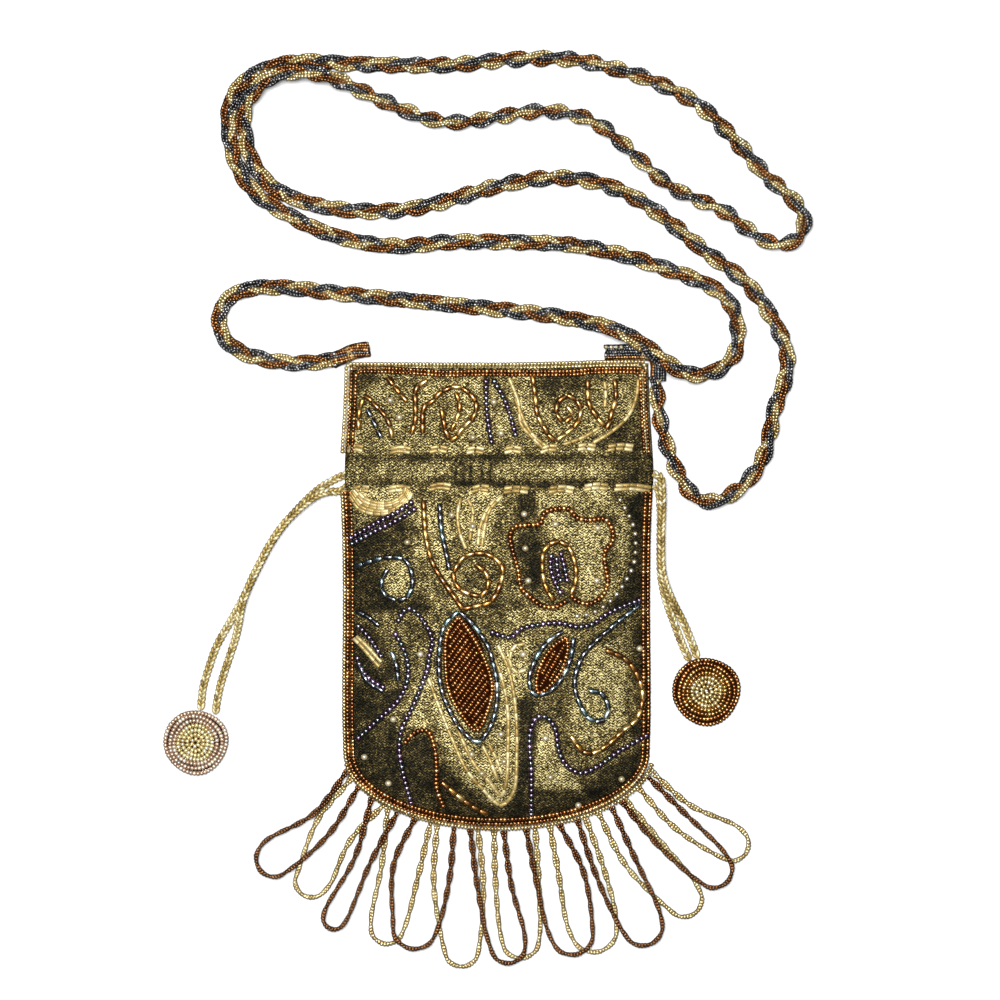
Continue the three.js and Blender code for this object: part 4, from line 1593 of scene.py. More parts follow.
@dataclass
class Strap(Assembly):
    """The strap: a flat braid of three strands, each a twisted bundle of bead strings."""

    period: float = 27.0
    half_width: float = 1.65
    half_depth: float = 1.2
    middle_z: float = 2.65
    strings: int = 3
    bundle_width: float = 0.8
    bundle_depth: float = 0.5
    twist: float = 24.0
    flatness: float = 1.5
    sample: float = 0.3
    edge_lift: float = 1.5
    bead: Size = Size(1.2, 1.45, 1.4)
    meeting: int = 49
    strands: tuple[Strand, ...] = (
        Strand("gold", 0.0, Look.GOLD, Slot.GOLD, (0.0, 1.0)),
        Strand("bronze", 1.0 / 3.0, Look.BRONZE, Slot.BRONZE, (0.0, 0.7)),
        Strand("dark", 2.0 / 3.0, Look.DARK, Slot.DARK, (0.0, 1.0)),
    )
    rolls: Points = (
        (0, 0.0), (14, 0.0), (20, 0.4), (26, 0.2), (40, 0.0), (44, 0.75), (52, 0.8), (60, 0.8), (65, 0.6),
        (69, 0.0), (75, 0.0), (79, 0.5), (84, 0.6), (88, 0.4), (92, 0.6), (99, 0.6),
    )
    out: Points = (
        (-58.4, 84.2), (-71.5, 83), (-82.5, 84), (-91.5, 86.5), (-98, 91), (-100.5, 97), (-99.5, 103),
        (-95.5, 107.5), (-87.5, 110), (-75, 110), (-57, 108), (-32, 105.5), (-7, 103), (16, 100.5),
        (33, 97.5, 0.6), (42, 94.5, 5.4), (51.5, 89.5, 6.2), (59, 83.5, 6.2), (68, 79, 3.4),
        (76, 79.5, 0.2), (82.5, 83.5), (85.5, 89.5), (85.5, 97), (83.5, 103.5), (78.5, 109),
        (69.5, 113.5), (58, 117.5), (43.5, 122), (25.5, 125.5), (4, 126.5), (-17.5, 126.5), (-35.5, 125),
        (-50, 126.5), (-62.5, 130), (-74.7, 135.7), (-86.9, 143.6), (-93.7, 153), (-96.9, 165),
        (-96.7, 175.5), (-92.6, 183), (-84.5, 188.3), (-72, 191.2), (-53.5, 190.5), (-17.5, 190),
        (4, 192), (25.5, 192), (42, 188.5), (58, 183), (72.5, 175), (85, 162.5), (96.5, 149.5),
        (105, 142), (109.5, 135),
    )
    back: Points = (
        (107, 127.6), (99.5, 125.6), (90.5, 130), (81.5, 137), (61.5, 146.5), (44.5, 161.5),
        (36.5, 168), (27.5, 172), (15, 173.5), (-14, 169.5), (-25, 170.5), (-41, 176.8), (-51, 181.2, 1.4),
        (-58.8, 184.6, 4.2), (-66.3, 186.6, 5.4), (-74, 186.9, 5.4), (-81.5, 185.2, 5.4), (-87, 181, 5.0),
        (-91.1, 175, 3.0), (-91.6, 168.5, 0.8), (-90.6, 161.5), (-88.3, 155), (-82.3, 147.1), (-72, 141.6),
        (-59, 138.5), (-44.5, 137.5), (-28.5, 139), (4, 147.5), (22, 149.5), (36.5, 147.5),
        (51, 141), (74, 123), (89.5, 111), (100.5, 94.5), (103.5, 85), (102, 75), (99, 67), (97, 57),
        (94, 47.5), (87, 38.5), (78, 33.5), (71, 34.5), (66, 40.5), (62.2, 48), (58.8, 58.5), (57.0, 68),
        (56.3, 78.2),
    )

    def line(self) -> Route:
        """Returns the strap's middle line."""
        raised = [(x, y, self.middle_z + sum(lift)) for x, y, *lift in (*self.out, *self.back)]
        return Route.through(raised)

    def string(self, line: Route, phase: float, index: int, span: Range) -> Route:
        """Draws one bead string, with the braid rolled onto its edge where rolls says so.

        Args:
            line: the strap's middle line.
            phase: the strand's place in the braid, in turns.
            index: the string's place in the strand.
            span: the stretch of the strap.

        Returns:
            The string's line.
        """
        distances = np.arange(*span, self.sample)
        side = unit(np.cross(UP, line.headings(distances)))
        turn = TURN * (phase + distances / self.period)
        spin = TURN * (index / self.strings + distances / self.twist)
        sway = self.half_width * np.tanh(self.flatness * np.sin(turn)) / math.tanh(self.flatness)
        across = sway + self.bundle_width * np.cos(spin)
        rise = self.half_depth * np.sin(2.0 * turn) + self.bundle_depth * np.sin(spin)
        knots, angles = zip(*self.rolls)
        roll = np.interp(distances, [line.knot(knot) for knot in knots], angles)
        wide = across * np.cos(roll) - rise * np.sin(roll)
        high = across * np.sin(roll) + rise * np.cos(roll) + self.edge_lift * np.sin(roll)
        return Route(line.at(distances) + side * wide[:, None] + UP * high[:, None])

    def build(self) -> None:
        """Builds the two lengths of each strand."""
        line = self.line()
        middle = line.knot(self.meeting)
        spans = {"out": (0.0, middle), "back": (middle, line.length)}
        for strand in self.strands:
            for length, span in spans.items():
                beads = Beading(Form.BARREL)
                for index in range(self.strings):
                    beads.string(self.string(line, strand.phase, index, span), self.bead, shade=strand.shade)
                piece = beads.joined(f"strap_beads_{strand.colour}_{length}")
                self.settle(piece, [strand.look], strand.slot, [f"strap_{strand.colour}_{length}"])


@dataclass(frozen=True)
class Bundle:
    """A bound end: its line, its strings' turn and finishes, and where its thread is wound."""

    side: str
    points: Points
    turn: float
    tones: tuple[int, ...]
    wrap_start: float
    wrap_turns: float


@dataclass
class StrapEnds(Assembly):
    """The strap's bound ends: bundles of cut bead strings held by wraps of thread."""

    width: float = 5.8
    depth: float = 4.8
    floor_z: float = 0.05
    bead: Size = Size(0.95, 1.5, 1.5)
    wrap: Size = Size(1.8, 0.8, 0.7)
    ragged: float = 1.6
    stations: int = 80
    filling: int = 6
    filling_shrink: float = 1.7
    core_shrink: float = 2.3
    filling_shade: Range = (0.0, 0.3)
    wrap_pitch: float = 0.75
    wrap_sway: float = 0.5
    wrap_shrink: float = 0.45
    wrap_shade: Range = (0.1, 0.8)
    stud: Size = Size(1.4, 1.4, 1.3)
    studs_x: tuple[float, ...] = (38.4, 40.2, 42.0, 43.8)
    studs_y: float = 88.6
    bundles: tuple[Bundle, ...] = (
        Bundle(
            "left",
            ((-60, 83.9), (-56.2, 85.4), (-52, 87.2), (-46, 88.2)),
            0.09,
            (1, 1, 0, 1, 1, 0, 0, 0, 0, 2, 0, 1),
            6.0,
            3.0,
        ),
        Bundle(
            "right",
            ((57.2, 76.5), (57.2, 79.5), (57.1, 83.2), (55.9, 85.8), (52.6, 86.8), (37.5, 86.8)),
            0.0,
            (1, 1, 0, 0, 0, 0, 0, 0, 0, 0, 0, 1),
            11.5,
            4.0,
        ),
    )

    def route(self, bundle: Bundle) -> Route:
        """Returns a bundle's middle line."""
        height = self.depth / 2.0 + self.floor_z
        return Route.through([(x, y, height) for x, y in bundle.points])

    def ring(self, route: Route, distances: Array, angle: Array, shrink: float) -> Array:
        """Returns places round a bundle's section.

        Args:
            route: the bundle's middle line.
            distances: how far along it each place is.
            angle: how far round it each place is.
            shrink: how far inside the section's outline the places lie.

        Returns:
            The places.
        """
        across = unit(np.cross(UP, route.headings(distances)))
        wide = (self.width / 2.0 - shrink) * np.cos(angle)
        high = (self.depth / 2.0 - shrink) * np.sin(angle)
        return route.at(distances) + across * wide[:, None] + UP * high[:, None]

    def strings(self, bundle: Bundle) -> None:
        """Builds the bead strings of one bound end.

        Args:
            bundle: which end.
        """
        route = self.route(bundle)
        beads = Beading(Form.RING)
        count = len(bundle.tones)
        layers = [(self.bead.width / 2.0, tone, (0.0, 1.0), count) for tone in bundle.tones]
        layers += [(self.filling_shrink, 0, self.filling_shade, self.filling)] * self.filling
        layers += [(self.core_shrink, 0, self.filling_shade, self.filling)]
        for index, (shrink, tone, shade, around) in enumerate(layers):
            end = route.length - beads.rng.uniform(0.0, self.ragged)
            distances = np.linspace(0.0, end, self.stations)
            angle = TURN * index / around + bundle.turn * distances
            beads.string(Route(self.ring(route, distances, angle, shrink)), self.bead, tone=tone, shade=shade)
        piece = beads.joined(f"strap_end_beads_{bundle.side}")
        self.settle(piece, [Look.DARK, Look.BRONZE, Look.GOLD], Slot.DARK, [f"strap_end_{bundle.side}"])

    def wraps(self, bundle: Bundle) -> None:
        """Binds a bundle with turns of thread.

        Args:
            bundle: which end.
        """
        angle = np.linspace(0.0, TURN * bundle.wrap_turns, int(40 * bundle.wrap_turns))
        sway = self.wrap_sway * np.sin(1.7 * angle)
        distances = bundle.wrap_start + self.wrap_pitch * angle / TURN + sway
        places = self.ring(self.route(bundle), distances, angle, self.wrap_shrink)
        thread = Beading(Form.BUGLE)
        thread.string(Route(places), self.wrap, shade=self.wrap_shade)
        self.settle(thread.joined(f"strap_end_thread_{bundle.side}"), [Look.THREAD], Slot.CORD)

    def build(self) -> None:
        """Builds both bound ends."""
        for bundle in self.bundles:
            self.strings(bundle)
        for bundle in self.bundles:
            self.wraps(bundle)
        studs = Beading(Form.PEARL)
        places = np.array([(x, self.studs_y, self.depth + self.stud.height / 2.0) for x in self.studs_x])
        studs.lay(places, RIGHT, self.stud)
        self.settle(studs.joined("strap_end_studs"), [Look.PEARL], Slot.GOLD)


@dataclass(frozen=True)
class Loop:
    """A fringe loop: its two roots across the hem, its tip, its width and how far each leg bows."""

    start: float
    end: float
    tip_x: float
    tip_y: float
    width: float
    bow_start: float
    bow_end: float


@dataclass
class Fringe(Assembly):
    """Loops of twisted bead strings that hang from the hem."""

    pouch: Pouch
    head_offset: float = 1.25
    head_end: float = 0.13
    head_line: float = 0.8
    gold_z: float = 1.05
    bronze_z: float = 3.4
    shoulder_back: float = 0.6
    bend_back: float = 0.16
    bend_out: float = 0.36
    bead: Size = Size(1.1, 1.5, 1.4)
    root_twist: float = 0.64
    tip_twist: float = 0.28
    twist: float = 13.0
    twist_flatness: float = 0.35
    twist_range: Range = (0.25, 0.8)
    sample: float = 0.3
    head_bead: Size = Size(1.2, 2.2, 2.6)
    head_stations: int = 160
    gold: tuple[Loop, ...] = (
        Loop(-52.9, -41.4, -70.6, -108.2, 12.5, -3, -2.8),
        Loop(-40, -24.6, -41.4, -125.8, 12.4, 0.9, 0.3),
        Loop(-22.3, -7.6, -13.3, -134, 13, -2.3, 1.7),
        Loop(-1.8, 13, 8.1, -131, 14, -0.7, 0.4),
        Loop(18.2, 31, 36, -128.6, 17.6, 0, 0.9),
        Loop(35.6, 45, 70.5, -114.8, 13.5, -3.1, 0),
        Loop(50, 54.4, 88.6, -93.6, 12.6, -2.5, -2.7),
    )
    bronze: tuple[Loop, ...] = (
        Loop(-54.4, -50.4, -85.3, -99.6, 13.5, 3.8, 2.6),
        Loop(-45.7, -36.4, -60.8, -120, 8.4, 2.6, -1),
        Loop(-30.2, -16.2, -31.8, -127.2, 16.8, -3.8, 1.2),
        Loop(-10.4, 1.6, 4.3, -132.4, 13, -0.8, -1.1),
        Loop(9.7, 21.6, 28.2, -129.2, 16, -0.4, 2.8),
        Loop(28.1, 40.3, 54.4, -125.6, 15, -1.2, 0),
        Loop(43.9, 53.3, 81.7, -103.5, 14, -1.4, 0),
    )

    def hem(self, x: float) -> Array:
        """Finds a root on the hem.

        Args:
            x: where it is across the pouch.

        Returns:
            Its place in the pouch's plane.
        """
        half = self.pouch.sections[-1].half + self.head_offset
        depth = self.pouch.round_depth + self.head_offset
        return np.array([x, self.pouch.round_y - depth * math.sqrt(1.0 - (x / half) ** 2)])

    def line(self, loop: Loop, height: float) -> Route:
        """Draws a loop down one leg, round the tip and up the other.

        Args:
            loop: the loop.
            height: how high it lies.

        Returns:
            The loop's line.
        """
        first, last = self.hem(loop.start), self.hem(loop.end)
        tip = np.array([loop.tip_x, loop.tip_y])
        heading = unit(tip - (first + last) / 2.0)
        side = np.array([-heading[1], heading[0]])
        shoulder = tip - heading * loop.width * self.shoulder_back
        bend = tip - heading * loop.width * self.bend_back
        shoulders = [shoulder - side * loop.width / 2.0, shoulder + side * loop.width / 2.0]
        bends = [bend - side * loop.width * self.bend_out, bend + side * loop.width * self.bend_out]
        middles = [
            (first + shoulders[0]) / 2.0 + side * loop.bow_start,
            (last + shoulders[1]) / 2.0 + side * loop.bow_end,
        ]
        points = [first, middles[0], shoulders[0], bends[0], tip, bends[1], shoulders[1], middles[1], last]
        return Route.through([(*point, height) for point in points])

    def twisted(self, route: Route, ply: int) -> Route:
        """Draws one of the two strings that are twisted along a loop, looser towards its roots.

        Args:
            route: the loop's line.
            ply: which string.

        Returns:
            The string's line.
        """
        distances = np.arange(0.0, route.length, self.sample)
        share = np.abs(2.0 * distances / route.length - 1.0)
        radius = self.tip_twist + (self.root_twist - self.tip_twist) * smoothstep(*self.twist_range, share)
        side = unit(np.cross(UP, route.headings(distances)))
        angle = TURN * distances / self.twist + math.pi * ply
        wide, high = radius * np.cos(angle), self.twist_flatness * radius * np.sin(angle)
        return Route(route.at(distances) + side * wide[:, None] + UP * high[:, None])

    def head(self) -> Route:
        """Draws the head strip along the hem.

        Returns:
            The strip's line.
        """
        angle = np.linspace(math.pi + self.head_end, TURN - self.head_end, self.head_stations)
        half = self.pouch.sections[-1].half + self.head_line
        depth = self.pouch.round_depth + self.head_line
        heights = np.full(len(angle), 0.5 * (self.gold_z + self.bronze_z))
        x, y = half * np.cos(angle), self.pouch.round_y + depth * np.sin(angle)
        return Route(np.column_stack([x, y, heights]))

    def build(self) -> None:
        """Builds both colours of loops and the head strip."""
        rows = (
            ("gold", self.gold, self.gold_z, Look.GOLD, Slot.GOLD, (0.1, 0.9)),
            ("bronze", self.bronze, self.bronze_z, Look.BRONZE, Slot.BRONZE, (0.0, 0.35)),
        )
        for colour, loops, height, look, slot, shade in rows:
            beads = Beading(Form.BARREL)
            for loop in loops:
                for ply in (0, 1):
                    beads.string(self.twisted(self.line(loop, height), ply), self.bead, shade=shade)
            self.settle(beads.joined(f"fringe_beads_{colour}"), [look], slot, [f"fringe_{colour}"])
        head = Beading(Form.SEED)
        head.string(self.head(), self.head_bead)
        self.settle(head.joined("fringe_head"), [Look.GOLD], Slot.GOLD)


class Stitch(Enum):
    """Ways of sewing a line of the embroidery."""

    AMBER = "amber"
    TEAL = "teal"
    PURPLE = "purple"
    BRONZE = "bronze"
    CLEAR = "clear"
    THREAD = "thread"


@dataclass(frozen=True)
class Motif:
    """A line of the embroidery, charted in squares, or a band of lines between it and another."""

    stitch: Stitch
    points: Points
    other: Points = ()
    count: int = 1

    def lines(self) -> list[Array]:
        """Returns the places of each line."""
        first, last = charted(self.points), charted(self.other or self.points)
        return [first + (last - first) * share for share in np.linspace(0.0, 1.0, self.count)]


@dataclass(frozen=True)
class Leaf:
    """A padded leaf: its outline on the chart, its solid's middle and size, and how its rows slant."""

    node: str
    outline: Points
    x: float
    y: float
    length: float
    width: float
    tilt: float
    slant: float


@dataclass
class Leaves(Assembly):
    """Leaves filled with slanted rows of bronze beads."""

    pouch: Pouch
    bead: Size = Size(1.1, 1.75, 1.75)
    rim_bead: Size = Size(1.3, 2.0, 1.8)
    row_pitch: float = 1.8
    pad: float = 1.3
    gap: float = 0.35
    seat: float = 0.4
    rim_inset: float = 1.3
    row_spare: float = 4.0
    bottom_lift: float = 0.05
    bead_shade: Range = (0.1, 0.85)
    rim_shade: Range = (0.4, 1.0)
    leaves: tuple[Leaf, ...] = (
        Leaf(
            "leaf_large",
            (
                (459, 616), (472, 634), (484, 656), (492, 682), (490, 701), (477, 728), (464, 715),
                (450, 691), (446, 660), (448, 631), (459, 616),
            ),
            -11.2, -28.0, 39.0, 15.0, 0.15, 0.95,
        ),
        Leaf(
            "leaf_small",
            (
                (566, 636), (567, 648), (561, 668), (549, 684), (538, 691), (536, 680), (541, 662),
                (553, 645), (566, 636),
            ),
            18.7, -24.8, 21.0, 7.6, -0.44, 1.05,
        ),
    )

    def lift(self, leaf: Leaf, places: Array) -> Array:
        """Works out the pad's height over the cloth.

        Args:
            leaf: the leaf.
            places: places in the pouch's plane.

        Returns:
            The heights.
        """
        x, y = places[:, 0] - leaf.x, places[:, 1] - leaf.y
        across = (x * math.cos(leaf.tilt) + y * math.sin(leaf.tilt)) / (leaf.width / 2.0)
        along = (y * math.cos(leaf.tilt) - x * math.sin(leaf.tilt)) / (leaf.length / 2.0)
        return self.gap + self.pad * np.sqrt(np.maximum(0.0, 1.0 - across**2 - along**2))

    def padding(self, leaf: Leaf) -> Piece:
        """Models the dark pad under a leaf's beads.

        Args:
            leaf: the leaf.

        Returns:
            The new piece.
        """
        shape = bmesh.new()
        bmesh.ops.create_uvsphere(shape, u_segments=24, v_segments=12, radius=1.0)
        ball = np.array([vert.co for vert in shape.verts])
        x, y = ball[:, 0] * leaf.width / 2.0, ball[:, 1] * leaf.length / 2.0
        cos, sin = math.cos(leaf.tilt), math.sin(leaf.tilt)
        places = np.column_stack([leaf.x + x * cos - y * sin, leaf.y + x * sin + y * cos])
        base = np.where(ball[:, 2] < 0.0, self.bottom_lift, self.gap)
        seats = self.pouch.on_front(places, base + self.pad * np.maximum(0.0, ball[:, 2]))
        for vert, seat in zip(shape.verts, seats):
            vert.co = seat * MM
        return modelled(f"{leaf.node}_pad", shape)

    def build(self) -> None:
        """Builds both leaves."""
        for leaf in self.leaves:
            rim = Route.through(charted(leaf.outline)).places
            middle = rim.mean(axis=0)
            beads, border = Beading(Form.BARREL), Beading(Form.BARREL)
            forward = unit(np.gradient(rim, axis=0))
            inward = np.column_stack([-forward[:, 1], forward[:, 0]])
            inward *= np.sign(np.sum(inward * (middle - rim)))
            inner = rim + inward * self.rim_inset
            row = np.array([math.cos(leaf.slant), math.sin(leaf.slant)])
            across = np.array([-row[1], row[0]])
            reach = leaf.length / 2.0 + self.row_spare
            for offset in np.arange(-reach, reach, self.row_pitch):
                steps = np.arange(-reach, reach, self.bead.length)[:, None]
                places = middle + across * offset + row * (steps + beads.rng.uniform(0.0, self.bead.length))
                places = places[inside(inner, places)]
                if len(places):
                    seats = self.pouch.on_front(places, self.lift(leaf, places) + self.seat)
                    beads.lay(seats, np.array([*row, 0.0]), self.bead, shade=self.bead_shade)
            rim_line = self.pouch.on_front(rim, self.lift(leaf, rim) + self.seat)
            border.string(Route(rim_line), self.rim_bead, shade=self.rim_shade)
            self.settle(beads.joined(f"{leaf.node}_beads"), [Look.BRONZE], Slot.BRONZE, [leaf.node])
            self.settle(border.joined(f"{leaf.node}_border"), [Look.BRONZE], Slot.BRONZE)
            self.settle(self.padding(leaf), [Look.CORE], Slot.BRONZE)


@dataclass
class Embroidery(Assembly):
    """Bugles, seed beads, pearls and couched thread sewn on the front."""

    pouch: Pouch
    bugle: Size = Size(3.4, 2.3, 1.9)
    seed: Size = Size(1.85, 2.5, 1.95)
    twin: Size = Size(1.55, 2.45, 1.9)
    drop: Size = Size(1.75, 1.75, 1.6)
    thread: Size = Size(2.8, 1.5, 0.95)
    pearl: Size = Size(2.4, 2.4, 2.1)
    bead_seat: float = 0.45
    pearl_seat: float = 0.4
    dash_sway: float = 1.8
    dash_arch: float = 1.5
    dash_pair: tuple[int, int] = (-1, 4)
    dash_rows: tuple[tuple[int, Points], ...] = (
        (
            448,
            ((349, 364), (392, 411), (430, 449), (467, 485), (505, 522), (541, 557), (577, 596), (607, 633)),
        ),
        (
            487,
            ((353, 371), (390, 411), (431, 451), (472, 490), (504, 529), (549, 574), (584, 608), (615, 650)),
        ),
    )
    band: tuple[Motif, ...] = (
        Motif(Stitch.AMBER, ((359, 430), (360, 412), (366, 398), (377, 407), (388, 420), (393, 438))),
        Motif(Stitch.TEAL, ((367, 408), (374, 422), (383, 440))),
        Motif(Stitch.AMBER, ((388, 378), (397, 390), (408, 403))),
        Motif(Stitch.AMBER, ((428, 381), (417, 390), (416, 405), (416, 420), (412, 435))),
        Motif(Stitch.AMBER, (
            (423, 434), (425, 408), (433, 402), (442, 393), (457, 388), (468, 393), (476, 404),
            (474, 417), (464, 428), (452, 440), (447, 434), (444, 422), (442, 410),
        )),
        Motif(Stitch.AMBER, ((456, 393), (460, 407), (457, 420), (451, 432))),
        Motif(Stitch.PURPLE, ((486, 380), (487, 413), (492, 445))),
        Motif(Stitch.PURPLE, ((493, 380), (506, 404), (511, 419), (516, 438))),
        Motif(
            Stitch.AMBER,
            ((532, 376), (535, 398), (537, 415), (543, 427), (554, 440), (567, 433), (577, 423), (581, 410)),
        ),
        Motif(Stitch.AMBER, (
            (581, 410), (576, 402), (567, 397), (559, 402), (556, 411), (560, 420), (567, 421),
            (571, 414), (566, 407),
        )),
        Motif(Stitch.AMBER, (
            (587, 380), (588, 403), (593, 413), (606, 427), (611, 413), (615, 398), (614, 380),
        )),
        Motif(Stitch.THREAD, ((638, 380), (635, 400), (627, 417), (611, 432), (593, 443))),
        Motif(Stitch.THREAD, ((509, 379), (518, 403), (521, 425), (531, 437), (544, 450))),
        Motif(Stitch.THREAD, ((515, 400), (520, 412), (525, 424), (534, 437), (548, 448))),
        Motif(Stitch.THREAD, ((563, 445), (582, 438), (599, 428))),
        Motif(Stitch.THREAD, ((604, 382), (605, 396), (604, 408))),
    )
    left: tuple[Motif, ...] = (
        Motif(Stitch.PURPLE, ((414, 501), (398, 512), (375, 524), (349, 539))),
        Motif(Stitch.PURPLE, ((417, 508), (400, 519), (378, 530), (350, 545))),
        Motif(
            Stitch.THREAD,
            ((350, 496), (360, 509), (377, 514), (393, 512), (407, 503), (413, 493)),
            ((355, 487), (365, 498), (381, 503), (395, 501), (404, 494), (407, 487)),
            5,
        ),
        Motif(Stitch.AMBER, (
            (424, 500), (425, 520), (427, 540), (433, 562), (442, 578), (451, 591), (463, 608),
        )),
        Motif(Stitch.AMBER, (
            (463, 608), (477, 605), (490, 601), (499, 587), (502, 567), (490, 555), (476, 553),
            (464, 557), (454, 574), (459, 587), (470, 593), (482, 594), (488, 584), (486, 573),
            (476, 564),
        )),
        Motif(Stitch.TEAL, ((440, 503), (442, 531), (446, 550), (450, 570))),
        Motif(Stitch.THREAD, ((461, 498), (458, 515), (460, 532), (466, 548))),
        Motif(Stitch.THREAD, ((468, 499), (473, 510), (472, 524), (470, 540))),
        Motif(Stitch.THREAD, ((502, 496), (490, 510), (485, 526), (482, 546))),
        Motif(Stitch.THREAD, ((495, 499), (486, 512), (480, 528), (478, 545))),
        Motif(Stitch.TEAL, (
            (355, 567), (368, 562), (390, 557), (406, 560), (413, 576), (411, 591), (402, 599),
            (388, 596), (383, 589), (383, 579), (389, 568),
        )),
        Motif(Stitch.PURPLE, (
            (398, 622), (405, 610), (412, 608), (429, 628), (433, 641), (430, 654), (428, 668),
            (414, 704), (402, 729), (400, 748), (403, 768), (412, 804),
        )),
        Motif(
            Stitch.PURPLE,
            ((395, 631), (403, 645), (409, 665), (407, 683), (398, 700), (375, 722), (357, 739)),
        ),
        Motif(Stitch.TEAL, ((357, 611), (368, 616), (380, 625))),
        Motif(Stitch.PURPLE, ((357, 624), (370, 637), (383, 657))),
        Motif(Stitch.PURPLE, ((357, 655), (362, 668), (373, 680), (386, 687))),
        Motif(Stitch.TEAL, ((392, 650), (397, 664), (399, 680))),
        Motif(Stitch.TEAL, ((360, 664), (368, 680), (384, 690))),
        Motif(Stitch.THREAD, ((354, 638), (364, 648), (380, 666))),
        Motif(Stitch.THREAD, ((357, 636), (368, 646), (382, 661))),
        Motif(Stitch.TEAL, (
            (459, 610), (445, 625), (440, 650), (440, 675), (444, 694), (453, 714), (462, 728),
            (478, 739), (489, 727), (496, 706), (497, 684), (494, 665), (488, 645), (472, 622),
            (459, 610),
        )),
        Motif(
            Stitch.THREAD,
            ((429, 677), (440, 706), (453, 738), (466, 766), (482, 786), (501, 803), (513, 790), (517, 742)),
            ((437, 672), (448, 703), (461, 734), (474, 761), (489, 779), (501, 793), (506, 780), (508, 742)),
            2,
        ),
        Motif(
            Stitch.THREAD,
            ((517, 742), (516, 715), (513, 688), (507, 664), (498, 644)),
            ((508, 742), (508, 715), (505, 690), (499, 668), (491, 649)),
            2,
        ),
        Motif(
            Stitch.THREAD, ((483, 744), (490, 758), (497, 776)), ((489, 742), (496, 756), (502, 772)), 2
        ),
        Motif(Stitch.THREAD, ((525, 642), (514, 646), (510, 660), (516, 670), (526, 668))),
        Motif(Stitch.BRONZE, (
            (405, 742), (415, 731), (428, 729), (435, 745), (437, 765), (437, 785), (444, 806),
        )),
        Motif(Stitch.AMBER, ((442, 780), (456, 792), (473, 805), (488, 813))),
    )
    right: tuple[Motif, ...] = (
        Motif(Stitch.BRONZE, (
            (566, 600), (555, 606), (542, 605), (532, 598), (521, 587), (518, 570), (512, 548),
            (510, 536), (514, 527), (527, 525), (540, 523), (544, 513), (556, 509), (568, 509),
            (577, 518), (590, 520), (604, 519), (611, 528), (612, 540), (604, 552), (605, 568),
            (607, 582), (601, 596), (588, 603), (576, 600), (570, 594),
        )),
        Motif(Stitch.AMBER, (
            (553, 600), (545, 585), (542, 567), (544, 550), (554, 542), (566, 545), (574, 562),
            (575, 580), (570, 594),
        )),
        Motif(Stitch.PURPLE, ((551, 553), (550, 567), (555, 582), (561, 594))),
        Motif(Stitch.PURPLE, ((560, 551), (564, 567), (567, 582))),
        Motif(Stitch.PURPLE, ((556, 556), (557, 570), (561, 582))),
        Motif(Stitch.CLEAR, (
            (617, 496), (627, 513), (634, 530), (635, 546), (633, 564), (624, 582), (610, 600),
            (592, 612), (572, 616),
        )),
        Motif(Stitch.PURPLE, (
            (490, 630), (500, 634), (511, 636), (520, 628), (535, 624), (559, 622), (578, 626),
            (592, 623), (605, 614), (622, 606), (641, 599),
        )),
        Motif(Stitch.TEAL, (
            (640, 604), (609, 628), (582, 655), (574, 681), (578, 700), (589, 717), (600, 719),
            (607, 711), (606, 701), (600, 692), (588, 689),
        )),
        Motif(Stitch.TEAL, (
            (563, 630), (548, 640), (536, 656), (529, 678), (534, 692), (548, 690), (561, 677),
            (570, 656), (573, 636),
        )),
        Motif(Stitch.AMBER, (
            (605, 649), (625, 659), (638, 678), (642, 697), (636, 718), (622, 730), (606, 744),
            (592, 751), (582, 749), (570, 734),
        )),
        Motif(Stitch.PURPLE, (
            (531, 815), (531, 770), (530, 730), (537, 715), (547, 716), (555, 728), (558, 748),
            (566, 763), (580, 771), (598, 764), (618, 750), (648, 734),
        )),
    )
    pearls: Points = (
        (391, 401), (400, 418), (473, 438), (501, 434), (494, 403), (408, 542), (473, 526), (421, 653),
        (394, 718), (365, 756), (389, 782), (501, 732), (472, 752), (482, 771), (504, 759), (523, 653),
        (545, 736), (550, 775), (578, 804), (621, 778), (639, 648), (555, 524), (597, 528), (525, 548),
        (596, 580), (524, 514), (528, 580), (452, 515),
    )

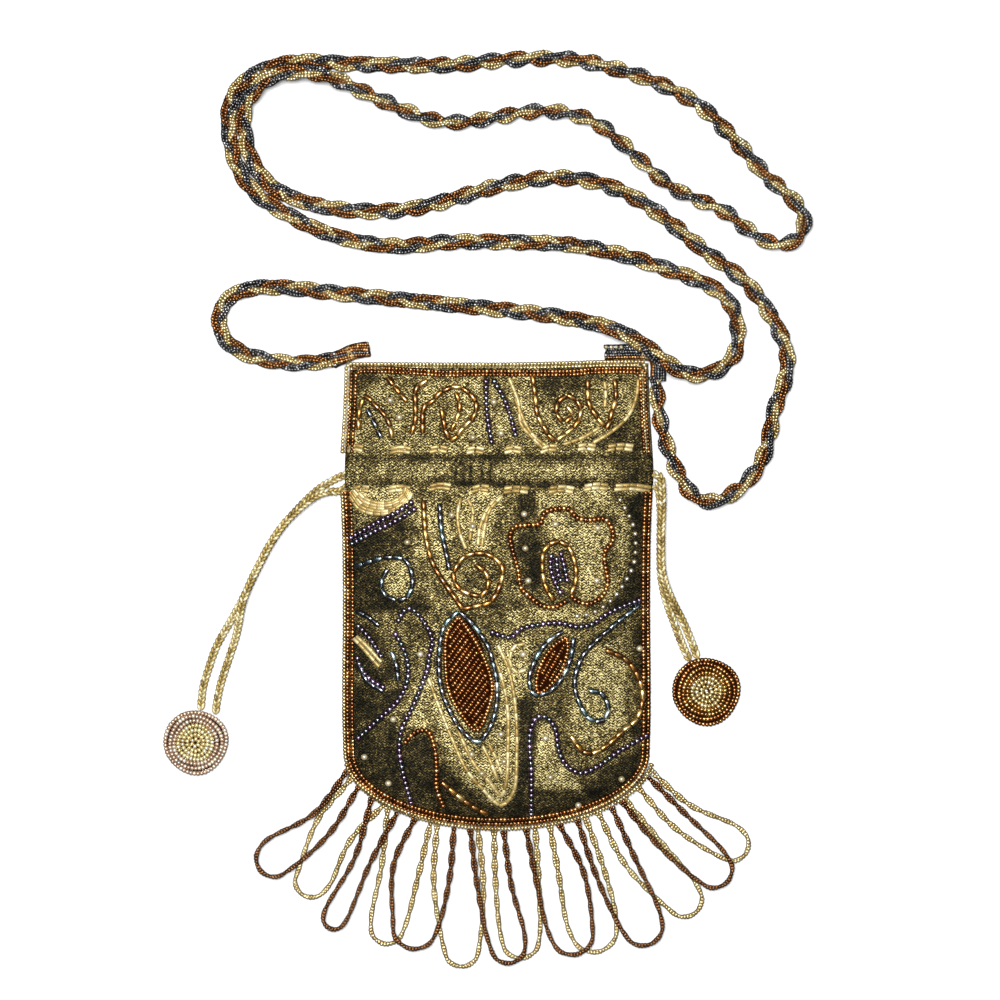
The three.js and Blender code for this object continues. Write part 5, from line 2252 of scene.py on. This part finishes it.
    def dashes(self) -> list[Motif]:
        """Charts the pairs of gold dashes along both edges of the casing.

        Returns:
            The dashes.
        """
        right, down = self.dash_pair
        made = []
        for row, spans in self.dash_rows:
            for start, end in spans:
                first, last = (row + self.dash_sway * math.sin(place) for place in (start, end))
                middle = ((start + end) / 2, (first + last) / 2 - self.dash_arch)
                line = ((start, first), middle, (end, last))
                below = [(x + right, y + down) for x, y in line]
                made.append(Motif(Stitch.THREAD, line, below, 2))
        return made

    def build(self) -> None:
        """Builds each kind of stitch as one piece."""
        plan = {
            Stitch.AMBER: (Form.BUGLE, self.bugle, Look.AMBER, Slot.BRONZE, 0.2),
            Stitch.TEAL: (Form.BUGLE, self.bugle, Look.TEAL, Slot.DARK, 0.3),
            Stitch.PURPLE: (Form.BARREL, self.seed, Look.PURPLE, Slot.DARK, 0.15),
            Stitch.BRONZE: (Form.BARREL, self.twin, Look.BRONZE, Slot.BRONZE, 0.0),
            Stitch.CLEAR: (Form.PEARL, self.drop, Look.CLEAR, Slot.GOLD, 1.7),
            Stitch.THREAD: (Form.BUGLE, self.thread, Look.THREAD, Slot.CORD, 0.0),
        }
        motifs = (*self.band, *self.left, *self.right, *self.dashes())
        for stitch, (form, size, look, slot, gap) in plan.items():
            work = Beading(form)
            for motif in motifs:
                for line in motif.lines() if motif.stitch is stitch else ():
                    seats = self.pouch.on_front(Route.through(line).places, self.bead_seat * size.height)
                    work.string(Route(seats), size, gap=gap)
            self.settle(work.joined(f"embroidery_{stitch.value}"), [look], slot)
        pearls = Beading(Form.PEARL)
        seats = self.pouch.on_front(charted(self.pearls), self.pearl_seat * self.pearl.height)
        pearls.lay(seats, RIGHT, self.pearl)
        self.settle(pearls.joined("embroidery_pearls"), [Look.PEARL], Slot.GOLD)


def main() -> None:
    """Builds the studio and every sub-assembly of the bag."""
    logging.basicConfig(level=logging.INFO, format="%(message)s")
    palette = Palette()
    Studio().build()
    discs = Medallions(palette).build()
    Drawstrings(palette).build(discs)
    pouch = Pouch(palette)
    pouch.build()
    Edging(palette, pouch).build()
    Leaves(palette, pouch).build()
    Embroidery(palette, pouch).build()
    Strap(palette).build()
    StrapEnds(palette).build()
    Fringe(palette, pouch).build()


if __name__ == "__main__":
    main()
